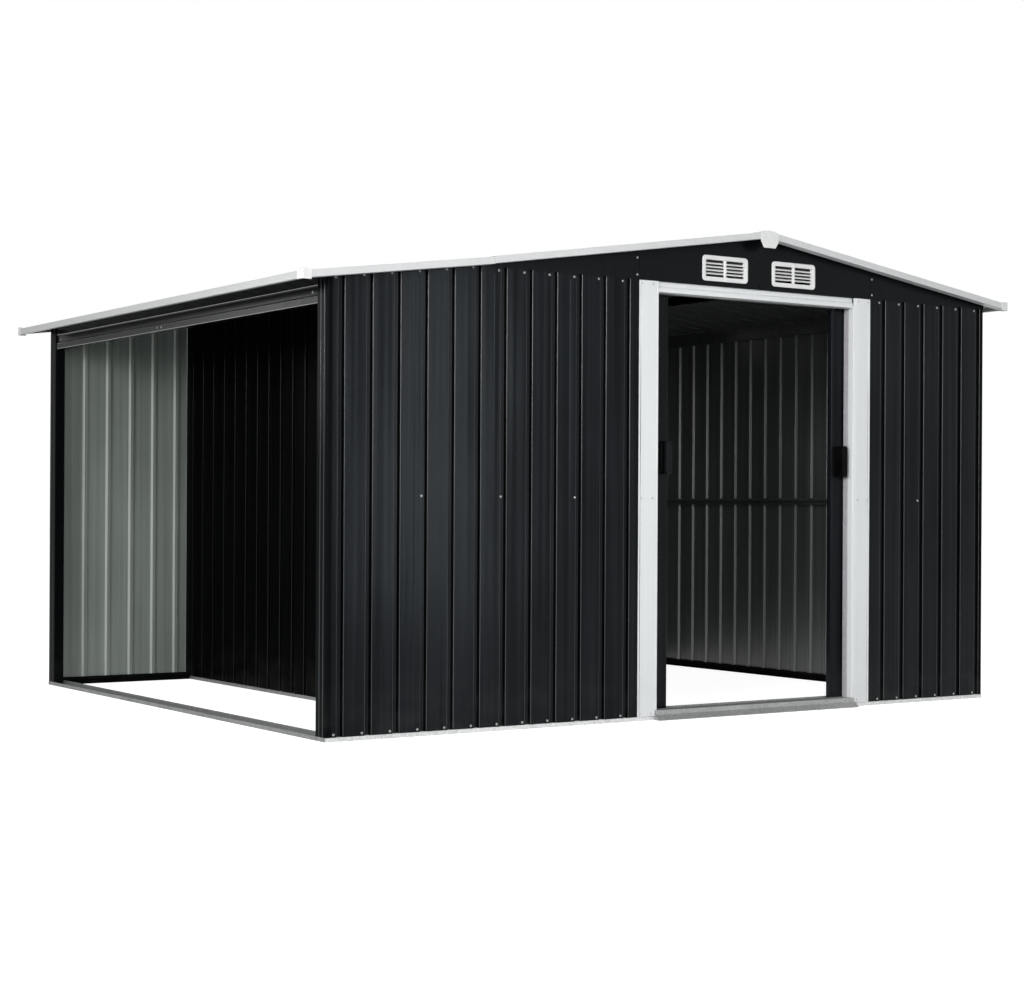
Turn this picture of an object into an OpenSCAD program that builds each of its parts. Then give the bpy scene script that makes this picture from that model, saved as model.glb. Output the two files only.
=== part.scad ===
// Sheet-steel storage shed with a ribbed skin, two sliding doors and an open-sided lean-to.
// The front looks along -Y. The origin is the middle of the footprint, at ground level.

/* [Plan] */
// Width of the closed shed, divider face to right wall face
main_w = 2428; // [2000:1:3200]
// Width of the lean-to, left edge to divider face
lean_w = 642; // [450:1:1100]
// Front wall face to back wall face
depth = 2510; // [1800:1:3600]

/* [Heights] */
// Top of the ribbed walls of the closed shed
wall_h = 1606; // [1400:1:2000]
// Roof underside above the wall top at the right wall
eave_gap = 22; // [16:1:40]
// Rise of the roof underside from the right wall to the ridge
ridge_rise = 182; // [140:1:320]
// Fall from the wall top to the lean-to's roof underside at its left edge
lean_drop = 66; // [46:1:266]
// Centre line of the mid rails
mid_h = 812; // [600:1:1000]

/* [Roof edges] */
// Main roof past the right wall
eave_over = 82; // [40:1:160]
// Lean-to roof past its left edge
lean_over = 123; // [60:1:200]
// Roofs past the front and back walls
end_over = 56; // [45:1:120]
// Main roof lapped over the lean-to roof
lap_over = 22; // [15:1:40]

/* [Ribbed sheet] */
// Thickness of the wall and roof sheet
sheet_t = 0.5; // [0.4:0.1:0.8]
// Distance between ribs
rib_pitch = 107; // [85:1:140]
// Depth of a rib
rib_d = 10; // [6:1:16]
// Width of a rib at its mouth
rib_mouth = 24; // [18:1:32]
// Width of a rib at its floor
rib_floor = 14; // [8:1:16]
// Ribs on one panel
panel_ribs = 6; // [4:1:8]

/* [Ground frame] */
// Thickness of the rolled rails
rail_t = 1.0; // [0.8:0.1:1.4]
// Width of a base rail on the ground
rail_w = 45; // [36:1:56]
// Height of the lip that shows under a wall
lip_h = 15; // [10:1:24]
// Height of a base rail behind the sheet
rail_h = 30; // [28:1:60]
// Inner upstand of the lean-to sill
sill_up = 22; // [15:1:40]

/* [Frame] */
// Height of a top rail or mid rail
frame_h = 30; // [24:1:40]
// Depth of a top rail
frame_d = 30; // [24:1:34]
// Depth of a mid rail
mid_d = 25; // [18:1:32]
// Height of the lean-to eave beam below the roof
beam_h = 93; // [70:1:120]
// Depth of the lean-to eave beam
beam_d = 38; // [30:1:46]
// Leg of a corner post along the ribbed sheet
post_leg = 20; // [14:1:22]
// Leg of a lean-to post along the open side
post_side = 68; // [36:1:90]
// Outer radius of a corner post
post_r = 8; // [4:1:10]

/* [Doorway] */
// Clear width between the jambs
door_open_w = 967; // [800:1:1200]
// Header's lower edge below the top rails
header_drop = 9; // [6:1:40]
// Face width of a jamb
jamb_w = 90; // [70:1:110]
// Depth of a jamb's white return
jamb_ret = 26; // [20:1:30]
// Depth to the inner face of the door posts
door_post_y = 54; // [46:1:58]
// Height of the threshold
threshold_h = 36; // [26:1:44]
// Reach of the threshold in front of the wall
threshold_out = 32; // [24:1:44]

/* [Sliding doors] */
// Part of a closed leaf that stays behind its jamb
leaf_lap = 40; // [24:1:80]
// Depth of a leaf
leaf_d = 24; // [20:1:30]
// Lower edge of the leaves
leaf_z0 = 28; // [26:1:36]
// Part of the open left leaf that shows beside its jamb
left_show = 92; // [56:1:120]
// Part of the open right leaf that shows beside its jamb
right_show = 58; // [56:1:120]
// Gap between the closed leaves
meet_gap = 6; // [6:1:12]
// Room between a leaf and the pieces it passes
leaf_clear = 6; // [5:0.5:10]
// Distance of a handle from the free edge of its leaf
handle_in = 16; // [10:1:20]
// Width of a handle
handle_w = 27; // [20:1:30]
// Height of a handle
handle_h = 122; // [90:1:160]
// Reach of a handle in front of its leaf
handle_d = 50; // [30:1:52]
// Height of the middle of the handles
handle_z = 963; // [860:1:1100]

/* [Vents] */
// Width of a vent plate
vent_w = 220; // [160:1:240]
// Height of a vent plate
vent_h = 96; // [70:1:110]
// Gap between a vent plate and the ridge line
vent_in = 60; // [40:1:90]
// Vent plate above the wall top
vent_up = 18; // [12:1:24]
// Louvre slots in one column
vent_slots = 5; // [3:1:6]

/* [Trim] */
// Thickness of the white edge trim
trim_t = 0.8; // [0.6:0.1:1.2]
// Width of the trim's upper flange
trim_top = 25; // [18:1:32]
// Width of the trim's lower flange
trim_low = 15; // [10:1:24]
// Trim below the roof's underside
trim_drop = 13; // [8:1:20]
// Thickness of the corner caps and ridge end caps
cap_t = 2; // [1.5:0.1:3]
// Half width of the ridge cap
ridge_half = 70; // [50:1:100]

/* [Hidden] */
// Gap between pieces that are screwed together
seat = 0.2;
// Joint between neighbouring panels
panel_gap = 0.4;
// Clear of the roof sheet that nests below, square to the rib flanks
lap_gap = 0.4;
// Least distance from a sheet's end to a rib
rib_edge = 30;
// Turned-in edges of the folded pieces
hem = 12;
// Jamb sheet and door sheet
jamb_t = 0.8;
leaf_t = 0.6;
// Part of a wall sheet held behind a jamb
jamb_tuck = 45;
// Width of the door posts
door_post_w = 35;
// Ridge joint, half of the gap between the two slopes
ridge_joint = 3;
// Last rib of the right front sheet from its corner
corner_rib = 33;

width = main_w + lean_w;
ridge_x = lean_w + main_w / 2;
mid_x = (width + eave_over - lean_over) / 2;
mid_y = depth / 2;

// Planes that the frame shares, measured inward from a wall face
frame_v0 = rib_d + sheet_t + 1.5 * seat;
frame_v1 = frame_v0 + frame_d;
mid_v1 = frame_v0 + mid_d;
side_start = frame_v1 + seat;
frame_z0 = wall_h - frame_h;

// Roof undersides
main_tan = ridge_rise / (main_w / 2);
ridge_under = wall_h + eave_gap + ridge_rise;
lap_x = lean_w - lap_over;
lean_eave_h = wall_h - lean_drop;
rib_flank = (rib_mouth - rib_floor) / 2;
nest_drop = (sheet_t + lap_gap) * norm([rib_flank, rib_d]) / rib_flank;
lean_tan = (main_under(lap_x) - nest_drop - lean_eave_h) / lap_x;
trim_rise = rib_d + sheet_t + seat + trim_t;
roof_y0 = -end_over + trim_t + seat;
roof_len = depth - 2 * roof_y0;

// Doorway and leaves
open_x0 = ridge_x - door_open_w / 2;
jamb_x0 = open_x0 - jamb_w;
header_z = frame_z0 - header_drop;
leaf_y = door_post_y + leaf_clear;
leaf_y1 = leaf_y + leaf_d;
leaf_w = (door_open_w - meet_gap) / 2 + leaf_lap;
leaf_x1 = open_x0 + left_show;
leaf_x0 = leaf_x1 - leaf_w;
right_shift = left_show - right_show;
leaf_top = header_z - leaf_clear - 1;
leaf_back = leaf_y1 - leaf_t - seat;
leaf_rail_y = leaf_y + rib_d + leaf_t + seat;

// Hanger and upper track: the hook rides on the track's upturned lip
track_t = 1.2;
track_throat = 15;
track_web_y = leaf_y - 3;
track_lip_y = track_web_y + track_throat;
track_z = header_z + 2;
track_lip = 12;
track_top = wall_h - 2;
track_end = 16;
track_x0 = leaf_x0 - track_end;
track_x1 = 2 * ridge_x - leaf_x0 + right_shift + track_end;
hook_play = 1;
hook_gap = 0.3;
hook_h = 11;
hook_nose = 7;
hanger_w = 40;
hanger_in = 60;
hanger_t = 9;

// Lower track and floor guide: the rear lip stands higher than the leaves' lower edge
low_track_y0 = door_post_y + seat;
low_track_y1 = leaf_y1 + leaf_clear + track_t;
low_track_front = leaf_z0 - leaf_clear - 2;
low_track_rear = threshold_h + 2;
guide_w = 20;
guide_y = (low_track_y0 + low_track_y1) / 2;
guide_z0 = track_t + leaf_clear;

gable_half = door_open_w / 2 + jamb_w;

anthracite = [0.10, 0.11, 0.12];
galvanised = [0.66, 0.68, 0.70];
white = [0.93, 0.94, 0.94];
black = [0.03, 0.03, 0.03];

// Underside of the main roof and of the lean-to roof over a point along the front
function main_under(x) = ridge_under - main_tan * abs(x - ridge_x);
function lean_under(x) = lean_eave_h + lean_tan * x;

// Outline of a folded sheet: its outer face follows the path, its thickness lies to the left
function unit(v) = v / norm(v);
function left_of(v) = [-v.y, v.x];
function fold_normals(p, i) = [
    left_of(unit(i > 0 ? p[i] - p[i - 1] : p[1] - p[0])),
    left_of(unit(i < len(p) - 1 ? p[i + 1] - p[i] : p[i] - p[i - 1]))
];
function fold_point(p, i, t) =
    let (n = fold_normals(p, i)) p[i] + (n[0] + n[1]) * t / (1 + n[0] * n[1]);
function folded(p, t) = concat(p, [for (i = [len(p) - 1 : -1 : 0]) fold_point(p, i, t)]);

// Path of a ribbed sheet from u0 to u1 with ribs at the given places
function ribbed(u0, u1, ribs) = concat(
    [[u0, 0]],
    [for (c = ribs, q = [[-rib_mouth, 0], [-rib_floor, rib_d], [rib_floor, rib_d], [rib_mouth, 0]])
        [c + q.x / 2, q.y]],
    [[u1, 0]]
);
function rib_count(length) = floor((length - 2 * rib_edge) / rib_pitch) + 1;
function rib_start(length) = (length - (rib_count(length) - 1) * rib_pitch) / 2;

// Everything is drawn from the front left corner and then centred
module placed() {
    translate([-mid_x, -mid_y, 0]) children();
}

// A wall's own frame: u along the wall, v inward from its face
module on_right() {
    translate([width, 0, 0]) rotate(90) children();
}

module on_back() {
    translate([width, depth, 0]) rotate(180) children();
}

module on_left(x = 0) {
    translate([x, depth, 0]) rotate(-90) children();
}

// Copy of a front piece on the back wall
module behind() {
    translate([0, depth, 0]) mirror([0, 1, 0]) children();
}

// Copy of a left-hand piece on the other side of the ridge
module across() {
    translate([2 * ridge_x, 0, 0]) mirror([1, 0, 0]) children();
}

// Profile in v and z, drawn out along u
module run(length) {
    rotate([90, 0, 90]) linear_extrude(height = length) children();
}

module run_fold(u0, u1, path, t) {
    translate([u0, 0, 0]) run(u1 - u0) polygon(folded(path, t));
}

// Upright folded piece
module stand_fold(z0, z1, path, t) {
    translate([0, 0, z0]) linear_extrude(height = z1 - z0) polygon(folded(path, t));
}

// Row of ribbed panels: its outline, drawn out upward
module panel_row(length, height) {
    n = rib_count(length);
    s = rib_start(length);
    for (i = [0 : ceil(n / panel_ribs) - 1]) {
        first = i * panel_ribs;
        last = min(n, first + panel_ribs) - 1;
        u0 = first == 0 ? 0 : s + (first - 0.5) * rib_pitch + panel_gap / 2;
        u1 = last == n - 1 ? length : s + (last + 0.5) * rib_pitch - panel_gap / 2;
        linear_extrude(height = height)
            polygon(folded(ribbed(u0, u1, [for (r = [first : last]) s + r * rib_pitch]), sheet_t));
    }
}

module mitred(length) {
    intersection() {
        children();
        translate([0, 0, -1])
            linear_extrude(height = rail_h + 2)
            polygon([[0, 0], [length, 0], [length - rail_w - 1, rail_w + 1], [rail_w + 1, rail_w + 1]]);
    }
}

// Rounded rectangle of exact arcs
module round_rect(w, h, r) {
    square([w, h - 2 * r], center = true);
    square([w - 2 * r, h], center = true);
    for (x = [-1, 1], y = [-1, 1])
        translate([x * (w / 2 - r), y * (h / 2 - r)]) circle(r = r, $fn = 32);
}

// Ground frame
base_path = [[frame_v0, rail_h], [frame_v0, lip_h], [0, lip_h], [0, 0], [rail_w, 0]];
sill_path = [[0, lip_h], [0, 0], [rail_w, 0], [rail_w, sill_up]];

module base_rail_front() {
    color(galvanised) difference() {
        mitred(width) run_fold(0, width, base_path, rail_t);
        translate([open_x0 - door_post_w, -1, lip_h - 2 * rail_t])
            cube([door_open_w + 2 * door_post_w, rail_w, rail_h]);
    }
}

module base_rail_back() {
    color(galvanised) on_back() mitred(width) run_fold(0, width, base_path, rail_t);
}

module base_rail_right() {
    color(galvanised) on_right() mitred(depth) run_fold(0, depth, base_path, rail_t);
}

module lean_to_sill() {
    color(galvanised) on_left() mitred(depth) run_fold(0, depth, sill_path, rail_t);
}

module divider_base_rail() {
    color(galvanised) on_left(lean_w)
        run_fold(rail_w + seat, depth - rail_w - seat, base_path, rail_t);
}

// Threshold: a steep front edge over a ramp, closed at its ends, which reach in front of the jambs
module door_threshold() {
    ear = 10;
    nose = 2;
    edge = 2;
    crease = 7;
    crease_h = threshold_h * 0.55;
    x0 = open_x0 - ear;
    x1 = open_x0 + door_open_w + ear;
    path = [
        [door_post_y, 0], [door_post_y, threshold_h], [-edge, threshold_h],
        [-crease, crease_h], [-threshold_out, nose], [-threshold_out, 0]
    ];
    color(galvanised) difference() {
        union() {
            run_fold(x0, x1, path, rail_t);
            for (x = [x0, x1 - rail_t])
                translate([x, 0, 0]) run(rail_t) polygon(path);
        }
        for (x = [x0 - 1, x1 - ear - seat])
            translate([x, -jamb_t - seat, -1])
            cube([ear + seat + 1, door_post_y + 2 * ear, threshold_h + 2]);
    }
}

module door_track_bottom() {
    path = [
        [low_track_y0, low_track_front], [low_track_y0, 0],
        [low_track_y1, 0], [low_track_y1, low_track_rear]
    ];
    color(galvanised) run_fold(track_x0, track_x1, path, track_t);
}

// Walls
module lean_end_wall() {
    n = rib_count(lean_w);
    s = rib_start(lean_w);
    path = ribbed(post_r, lean_w - panel_gap, [for (r = [0 : n - 1]) s + r * rib_pitch]);
    color(anthracite) intersection() {
        linear_extrude(height = wall_h + eave_gap + ridge_rise) polygon(folded(path, sheet_t));
        rotate([90, 0, 0])
            translate([0, 0, -2 * rib_d])
            linear_extrude(height = 3 * rib_d)
            polygon([
                [0, lip_h], [lean_w, lip_h],
                [lean_w, lean_under(lean_w) - seat], [0, lean_under(0) - seat]
            ]);
    }
}

module front_wall_lean_to() {
    lean_end_wall();
}

module back_wall_lean_to() {
    behind() lean_end_wall();
}

module front_wall_left() {
    shown = jamb_x0 - lean_w;
    ribs = [for (r = [0 : rib_count(shown) - 1]) lean_w + rib_start(shown) + r * rib_pitch];
    color(anthracite)
        stand_fold(lip_h, wall_h, ribbed(lean_w, jamb_x0 + jamb_tuck, ribs), sheet_t);
}

module front_wall_right() {
    start = 2 * ridge_x - jamb_x0;
    n = floor((width - start - corner_rib - rib_mouth) / rib_pitch);
    ribs = [for (r = [n : -1 : 0]) width - corner_rib - r * rib_pitch];
    color(anthracite)
        stand_fold(lip_h, wall_h, ribbed(start - jamb_tuck, width - post_r, ribs), sheet_t);
}

module right_wall() {
    color(anthracite) on_right() translate([post_r, 0, lip_h])
        panel_row(depth - 2 * post_r, wall_h - lip_h);
}

module back_wall() {
    color(anthracite) on_back() translate([post_r, 0, lip_h])
        panel_row(main_w - post_r, wall_h - lip_h);
}

module divider_wall() {
    color(anthracite) on_left(lean_w) translate([side_start, 0, lip_h])
        panel_row(depth - 2 * side_start, wall_h - lip_h);
}

module divider_post() {
    y0 = sheet_t + seat;
    flange = rib_edge - rib_mouth / 2 - seat;
    path = [[lean_w, side_start - seat], [lean_w, y0], [lean_w + flange, y0]];
    stand_fold(rail_h + seat, frame_z0 - seat, path, rail_t);
}

module divider_posts() {
    color(anthracite) {
        divider_post();
        behind() divider_post();
    }
}

// Corner posts: the rounded corner stands outside the sheets
function post_arc() = [for (a = [0 : 15 : 90]) [post_r * (1 - sin(a)), post_r * (1 - cos(a))]];

module lean_to_post() {
    path = concat(
        [[post_leg, 0]], post_arc(),
        [[0, post_side], [hem, post_side], [hem, post_side - hem]]
    );
    stand_fold(lip_h, lean_under(-jamb_t) - seat, path, jamb_t);
}

module lean_to_post_front() {
    color(anthracite) lean_to_post();
}

module lean_to_post_back() {
    color(anthracite) behind() lean_to_post();
}

module corner_post() {
    path = concat([[post_leg, 0]], post_arc(), [[0, post_leg]]);
    translate([width, 0, 0]) mirror([1, 0, 0]) stand_fold(lip_h, wall_h, path, jamb_t);
}

module corner_post_front() {
    color(anthracite) corner_post();
}

module corner_post_back() {
    color(anthracite) behind() corner_post();
}

// Doorway
module door_jamb() {
    path = [
        [jamb_x0, -jamb_t], [open_x0, -jamb_t], [open_x0, jamb_ret], [open_x0 - hem, jamb_ret]
    ];
    difference() {
        stand_fold(lip_h, wall_h - seat, path, jamb_t);
        translate([open_x0 - 2 * hem, 0, frame_z0 - seat]) cube([3 * hem, 2 * jamb_ret, frame_h]);
    }
}

module door_jamb_left() {
    color(white) door_jamb();
}

module door_jamb_right() {
    color(white) across() door_jamb();
}

module door_post() {
    y0 = jamb_ret + seat;
    x0 = open_x0 - door_post_w;
    path = [[x0, y0], [open_x0, y0], [open_x0, door_post_y], [x0, door_post_y]];
    stand_fold(rail_t + seat, frame_z0 - seat, path, rail_t);
}

module door_posts() {
    color(galvanised) {
        door_post();
        across() door_post();
    }
}

// Header: its upper band stands back, its lower band comes forward
module door_header() {
    proud = 2.5;
    set_back = frame_v0 - jamb_t - 2;
    fold_z = header_z + 22;
    path = [
        [set_back, wall_h - seat], [set_back, fold_z], [proud, fold_z - set_back + proud],
        [proud, header_z], [frame_v1, header_z], [frame_v1, frame_z0 - seat]
    ];
    color(white)
        run_fold(open_x0 + seat, open_x0 + door_open_w - seat, path, jamb_t);
}

module door_track_top() {
    y0 = frame_v1 + seat;
    path = [
        [track_lip_y, track_z + track_lip], [track_lip_y, track_z], [track_web_y, track_z],
        [track_web_y, track_top], [y0, track_top], [y0, frame_z0 + track_lip]
    ];
    color(galvanised) run_fold(track_x0, track_x1, path, track_t);
}

// Frame rails, as open channels with a turned-down lip
function channel(v0, v1, z0, z_out, z_in) =
    [[v1, z_in - hem], [v1, z_in], [v0, z_out], [v0, z0], [v1, z0]];

module end_top_rail() {
    path = channel(frame_v0, frame_v1, frame_z0, wall_h, wall_h);
    run_fold(lean_w, width - frame_v0, path, rail_t);
}

module top_rail_front() {
    color(anthracite) end_top_rail();
}

module top_rail_back() {
    color(anthracite) behind() end_top_rail();
}

// Rail under a main eave: its upper flange follows the roof
module side_top_rail(x_face, turn) {
    z_out = main_under(x_face + turn * frame_v0) - seat;
    z_in = main_under(x_face + turn * frame_v1) - seat;
    run_fold(side_start, depth - side_start, channel(frame_v0, frame_v1, frame_z0, z_out, z_in), rail_t);
}

module top_rail_right() {
    color(anthracite) on_right() side_top_rail(width, -1);
}

module top_rail_divider() {
    color(anthracite) on_left(lean_w) side_top_rail(lean_w, 1);
}

module mid_rail(u0, u1) {
    z0 = mid_h - frame_h / 2;
    z1 = mid_h + frame_h / 2;
    run_fold(u0, u1, channel(frame_v0, mid_v1, z0, z1, z1), rail_t);
}

module mid_rails() {
    door_edge = door_post_w + seat;
    color(anthracite) {
        on_right() mid_rail(side_start, depth - side_start);
        on_left(lean_w) mid_rail(side_start, depth - side_start);
        behind() mid_rail(lean_w + rail_t + seat, width - frame_v0);
        mid_rail(hem + 2 * seat, lean_w - seat);
        mid_rail(lean_w + rail_t + seat, open_x0 - door_edge);
        mid_rail(2 * ridge_x - open_x0 + door_edge, width - frame_v0);
    }
}

// Lean-to frame
module lean_to_beam() {
    z0 = lean_eave_h - beam_h;
    crease = 4;
    band = 24;
    face = 2;
    path = [
        [beam_d, lean_under(beam_d) - seat], [face, lean_under(face) - seat],
        [face, z0 + 2.5 * band], [face + crease, z0 + 2.5 * band - crease],
        [face + crease, z0 + band + crease], [face, z0 + band], [face, z0], [beam_d, z0]
    ];
    u0 = post_side + jamb_t + seat;
    splice = depth * 0.46;
    color(anthracite) on_left() {
        run_fold(u0, splice - panel_gap / 2, path, rail_t);
        run_fold(splice + panel_gap / 2, depth - u0, path, rail_t);
    }
}

module lean_to_ledger() {
    z_top = lean_under(lean_w) - seat;
    z_out = lean_under(lean_w - frame_d) - seat;
    path = [[0, z_top - frame_h], [0, z_top], [-frame_d, z_out]];
    color(anthracite) on_left(lean_w) run_fold(side_start, depth - side_start, path, rail_t);
}

module lean_end_rail() {
    x0 = beam_d + hem;
    x1 = lean_w - frame_d;
    angle = atan(lean_tan);
    path = [[mid_v1, 0], [frame_v0, 0], [frame_v0, -frame_h]];
    translate([x0, 0, lean_under(x0) - seat])
        rotate([0, -angle, 0])
        run_fold(0, (x1 - x0) / cos(angle), path, rail_t);
}

module lean_to_end_rails() {
    color(anthracite) {
        lean_end_rail();
        behind() lean_end_rail();
    }
}

// Gables
module gable_panel(xa, xb) {
    translate([0, sheet_t, 0]) rotate([90, 0, 0]) linear_extrude(height = sheet_t)
        polygon([
            [xa, wall_h], [xb, wall_h], [xb, main_under(xb) - seat], [xa, main_under(xa) - seat]
        ]);
    translate([xa, 0, wall_h]) cube([xb - xa, frame_v0 + hem, sheet_t]);
}

module vent_place() {
    translate([ridge_x - vent_in - vent_w / 2, 0, wall_h + vent_up + vent_h / 2])
        rotate([90, 0, 0])
        children();
}

vent_rim = 14;
vent_frame = 3;

module gable_half_panels() {
    gable_panel(lean_w, ridge_x - gable_half - panel_gap / 2);
    difference() {
        gable_panel(ridge_x - gable_half + panel_gap / 2, ridge_x - panel_gap / 2);
        vent_place() cube([vent_w - 2 * vent_rim, vent_h - 2 * vent_rim, 4 * sheet_t], center = true);
    }
}

module gable() {
    color(anthracite) {
        gable_half_panels();
        across() gable_half_panels();
    }
}

module front_gable() {
    gable();
}

module back_gable() {
    behind() gable();
}

// Louvred vent: a rounded plate with two columns of slots and sloping blades behind them
module vent() {
    slot_w = (vent_w - 3 * vent_rim) / 2;
    slot_step = (vent_h - 2 * vent_rim) / vent_slots;
    slot_h = slot_step * 0.55;
    plug = 10;
    vent_place() difference() {
        union() {
            linear_extrude(height = vent_frame) round_rect(vent_w, vent_h, vent_rim);
            translate([0, 0, -plug]) linear_extrude(height = plug)
                square([vent_w - 2 * vent_rim - 2 * seat, vent_h - 2 * vent_rim - 2 * seat], center = true);
        }
        for (side = [-1, 1], i = [0 : vent_slots - 1])
            translate([
                side * (slot_w + vent_rim) / 2, (i - (vent_slots - 1) / 2) * slot_step, -plug / 2
            ])
                rotate([-20, 0, 0])
                cube([slot_w, slot_h, 4 * plug], center = true);
    }
}

module vent_pair() {
    color(white) {
        vent();
        across() vent();
    }
}

module front_vents() {
    vent_pair();
}

module back_vents() {
    behind() vent_pair();
}

// Roof frame
module ridge_beam() {
    half = 20;
    beam_drop = 40;
    z1 = main_under(ridge_x + half) - seat;
    path = [
        [half, z1 - beam_drop], [half, z1], [-half, z1], [-half, z1 - beam_drop]
    ];
    color(anthracite) translate([ridge_x, 0, 0]) rotate(90)
        run_fold(sheet_t + seat, depth - sheet_t - seat, path, rail_t);
}

module roof_purlin() {
    x = ridge_x - main_w / 4;
    path = [[-frame_d, main_under(x) - frame_h], [0, main_under(x) - frame_h],
        [0, main_under(x) - seat], [-frame_d, main_under(x + frame_d) - seat]];
    translate([x, 0, 0]) rotate(90) run_fold(sheet_t + seat, depth - sheet_t - seat, path, rail_t);
}

module roof_purlins() {
    color(anthracite) {
        roof_purlin();
        across() roof_purlin();
    }
}

// Roof sheets: the underside starts at the low end and climbs towards +X
module on_slope(x, z, slope) {
    translate([x, 0, z]) rotate([0, -atan(slope), 0]) children();
}

module roof_sheet(xa, xb, za, slope) {
    on_slope(xa, za, slope) translate([0, roof_y0, 0]) rotate([90, 0, 90])
        panel_row(roof_len, (xb - xa) / cos(atan(slope)));
}

module main_slope(x_low) {
    color(anthracite) roof_sheet(x_low, ridge_x - ridge_joint, main_under(x_low), main_tan);
}

module roof_left() {
    main_slope(lap_x);
}

module roof_right() {
    across() main_slope(2 * ridge_x - width - eave_over + trim_t + ridge_joint);
}

module lean_to_roof() {
    xa = -lean_over + trim_t + ridge_joint;
    color(anthracite) roof_sheet(xa, lean_w - panel_gap, lean_under(xa), lean_tan);
}

module ridge_cap() {
    z0 = ridge_under + (rib_d + sheet_t) / cos(atan(main_tan)) + seat;
    bead = 12;
    bead_h = 5;
    path = [
        [-ridge_half, z0 - main_tan * ridge_half], [-bead, z0 - main_tan * bead], [-bead + 3, z0 + bead_h],
        [bead - 3, z0 + bead_h], [bead, z0 - main_tan * bead], [ridge_half, z0 - main_tan * ridge_half]
    ];
    u0 = -end_over + trim_top + seat;
    color(white) translate([ridge_x, 0, 0]) mirror([1, 0, 0]) rotate(90)
        run_fold(u0, depth - u0, path, trim_t);
}

// Cover at the end of the ridge: a six-sided face with a hood over the trim ends
module ridge_end_cap() {
    half = 44;
    foot = 28;
    hood = 24;
    skirt = 51;
    side = 24;
    z0 = ridge_under + trim_rise / cos(atan(main_tan)) + seat;
    z_side = z0 - main_tan * half;
    low = ridge_under - skirt;
    translate([ridge_x, 0, 0]) rotate([90, 0, 0]) {
        translate([0, 0, end_over + seat]) linear_extrude(height = cap_t - seat)
            polygon([
                [-half, z_side + cap_t], [0, z0 + 2 * cap_t], [half, z_side + cap_t],
                [half, low + side], [foot, low], [-foot, low], [-half, low + side]
            ]);
        translate([0, 0, end_over + seat - hood]) linear_extrude(height = hood)
            polygon([
                [-half, z_side], [0, z0], [half, z_side],
                [half, z_side + cap_t], [0, z0 + 2 * cap_t], [-half, z_side + cap_t]
            ]);
    }
}

module ridge_end_caps() {
    color(white) {
        ridge_end_cap();
        behind() ridge_end_cap();
    }
}

// White edge trim along a sloping front edge
module slope_trim(xa, xb, za, slope) {
    path = [[trim_top, trim_rise], [0, trim_rise], [0, -trim_drop], [trim_low, -trim_drop]];
    on_slope(xa, za, slope) translate([0, -end_over, 0])
        run_fold(0, (xb - xa) / cos(atan(slope)), path, trim_t);
}

trim_start = 4;

module front_trims() {
    lean_xa = -lean_over + trim_start;
    main_xa = 2 * ridge_x - width - eave_over + trim_start;
    slope_trim(lean_xa, lap_x - trim_start, lean_under(lean_xa), lean_tan);
    slope_trim(lap_x, ridge_x - ridge_joint, main_under(lap_x), main_tan);
    across() slope_trim(main_xa, ridge_x - ridge_joint, main_under(main_xa), main_tan);
}

module roof_trim_front() {
    color(white) front_trims();
}

module roof_trim_back() {
    color(white) behind() front_trims();
}

module eave_trim(z, slope) {
    path = [
        [trim_top, z + trim_rise + 1 + slope * trim_top], [0, z + trim_rise + 1],
        [0, z - trim_drop], [trim_low, z - trim_drop]
    ];
    u0 = -end_over + trim_top + seat;
    run_fold(u0, depth - u0, path, trim_t);
}

module roof_trim_eaves() {
    color(white) {
        translate([-lean_over, 0, 0]) on_left() eave_trim(lean_under(-lean_over), lean_tan);
        translate([eave_over, 0, 0]) on_right() eave_trim(main_under(width + eave_over), main_tan);
    }
}

// Cap folded round a roof corner
module corner_cap(z, slope) {
    leg = 34;
    z0 = z - trim_drop - cap_t;
    z1 = z + trim_rise + cap_t + slope * leg;
    path = [[leg, 0], [0, 0], [0, leg]];
    stand_fold(z0, z1, path, cap_t);
}

module roof_corner_pair() {
    translate([-lean_over, -end_over, 0]) corner_cap(lean_under(-lean_over), lean_tan);
    translate([width + eave_over, -end_over, 0]) mirror([1, 0, 0])
        corner_cap(main_under(width + eave_over), main_tan);
}

module roof_corner_caps() {
    color(white) {
        roof_corner_pair();
        behind() roof_corner_pair();
    }
}

// Left-hand sliding leaf, drawn open
module leaf_panel() {
    edge = (leaf_w - 2 * rib_pitch) / 2;
    ribs = [for (r = [0 : 2]) leaf_x0 + edge + r * rib_pitch];
    face = [for (q = ribbed(leaf_x0, leaf_x1, ribs)) [q.x, q.y + leaf_y]];
    path = concat(
        [[leaf_x0 + hem, leaf_y1], [leaf_x0, leaf_y1]], face,
        [[leaf_x1, leaf_y1], [leaf_x1 - hem, leaf_y1]]
    );
    color(anthracite) stand_fold(leaf_z0, leaf_top, path, leaf_t);
}

module leaf_rails() {
    leg = 24;
    u0 = leaf_x0 + leaf_t + seat;
    u1 = leaf_x1 - leaf_t - seat;
    z_top = leaf_top;
    z_low = leaf_z0;
    color(galvanised) {
        run_fold(u0, u1, [[leaf_back, z_top - leg], [leaf_back, z_top], [leaf_rail_y, z_top],
            [leaf_rail_y, z_top - leg]], rail_t);
        run_fold(u0, u1, channel(leaf_rail_y, leaf_back, mid_h - leg / 2, mid_h + leg / 2, mid_h + leg / 2),
            rail_t);
        run_fold(u0, u1, [[leaf_rail_y, z_low + leg], [leaf_rail_y, z_low], [leaf_back, z_low],
            [leaf_back, z_low + leg]], rail_t);
    }
}

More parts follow.
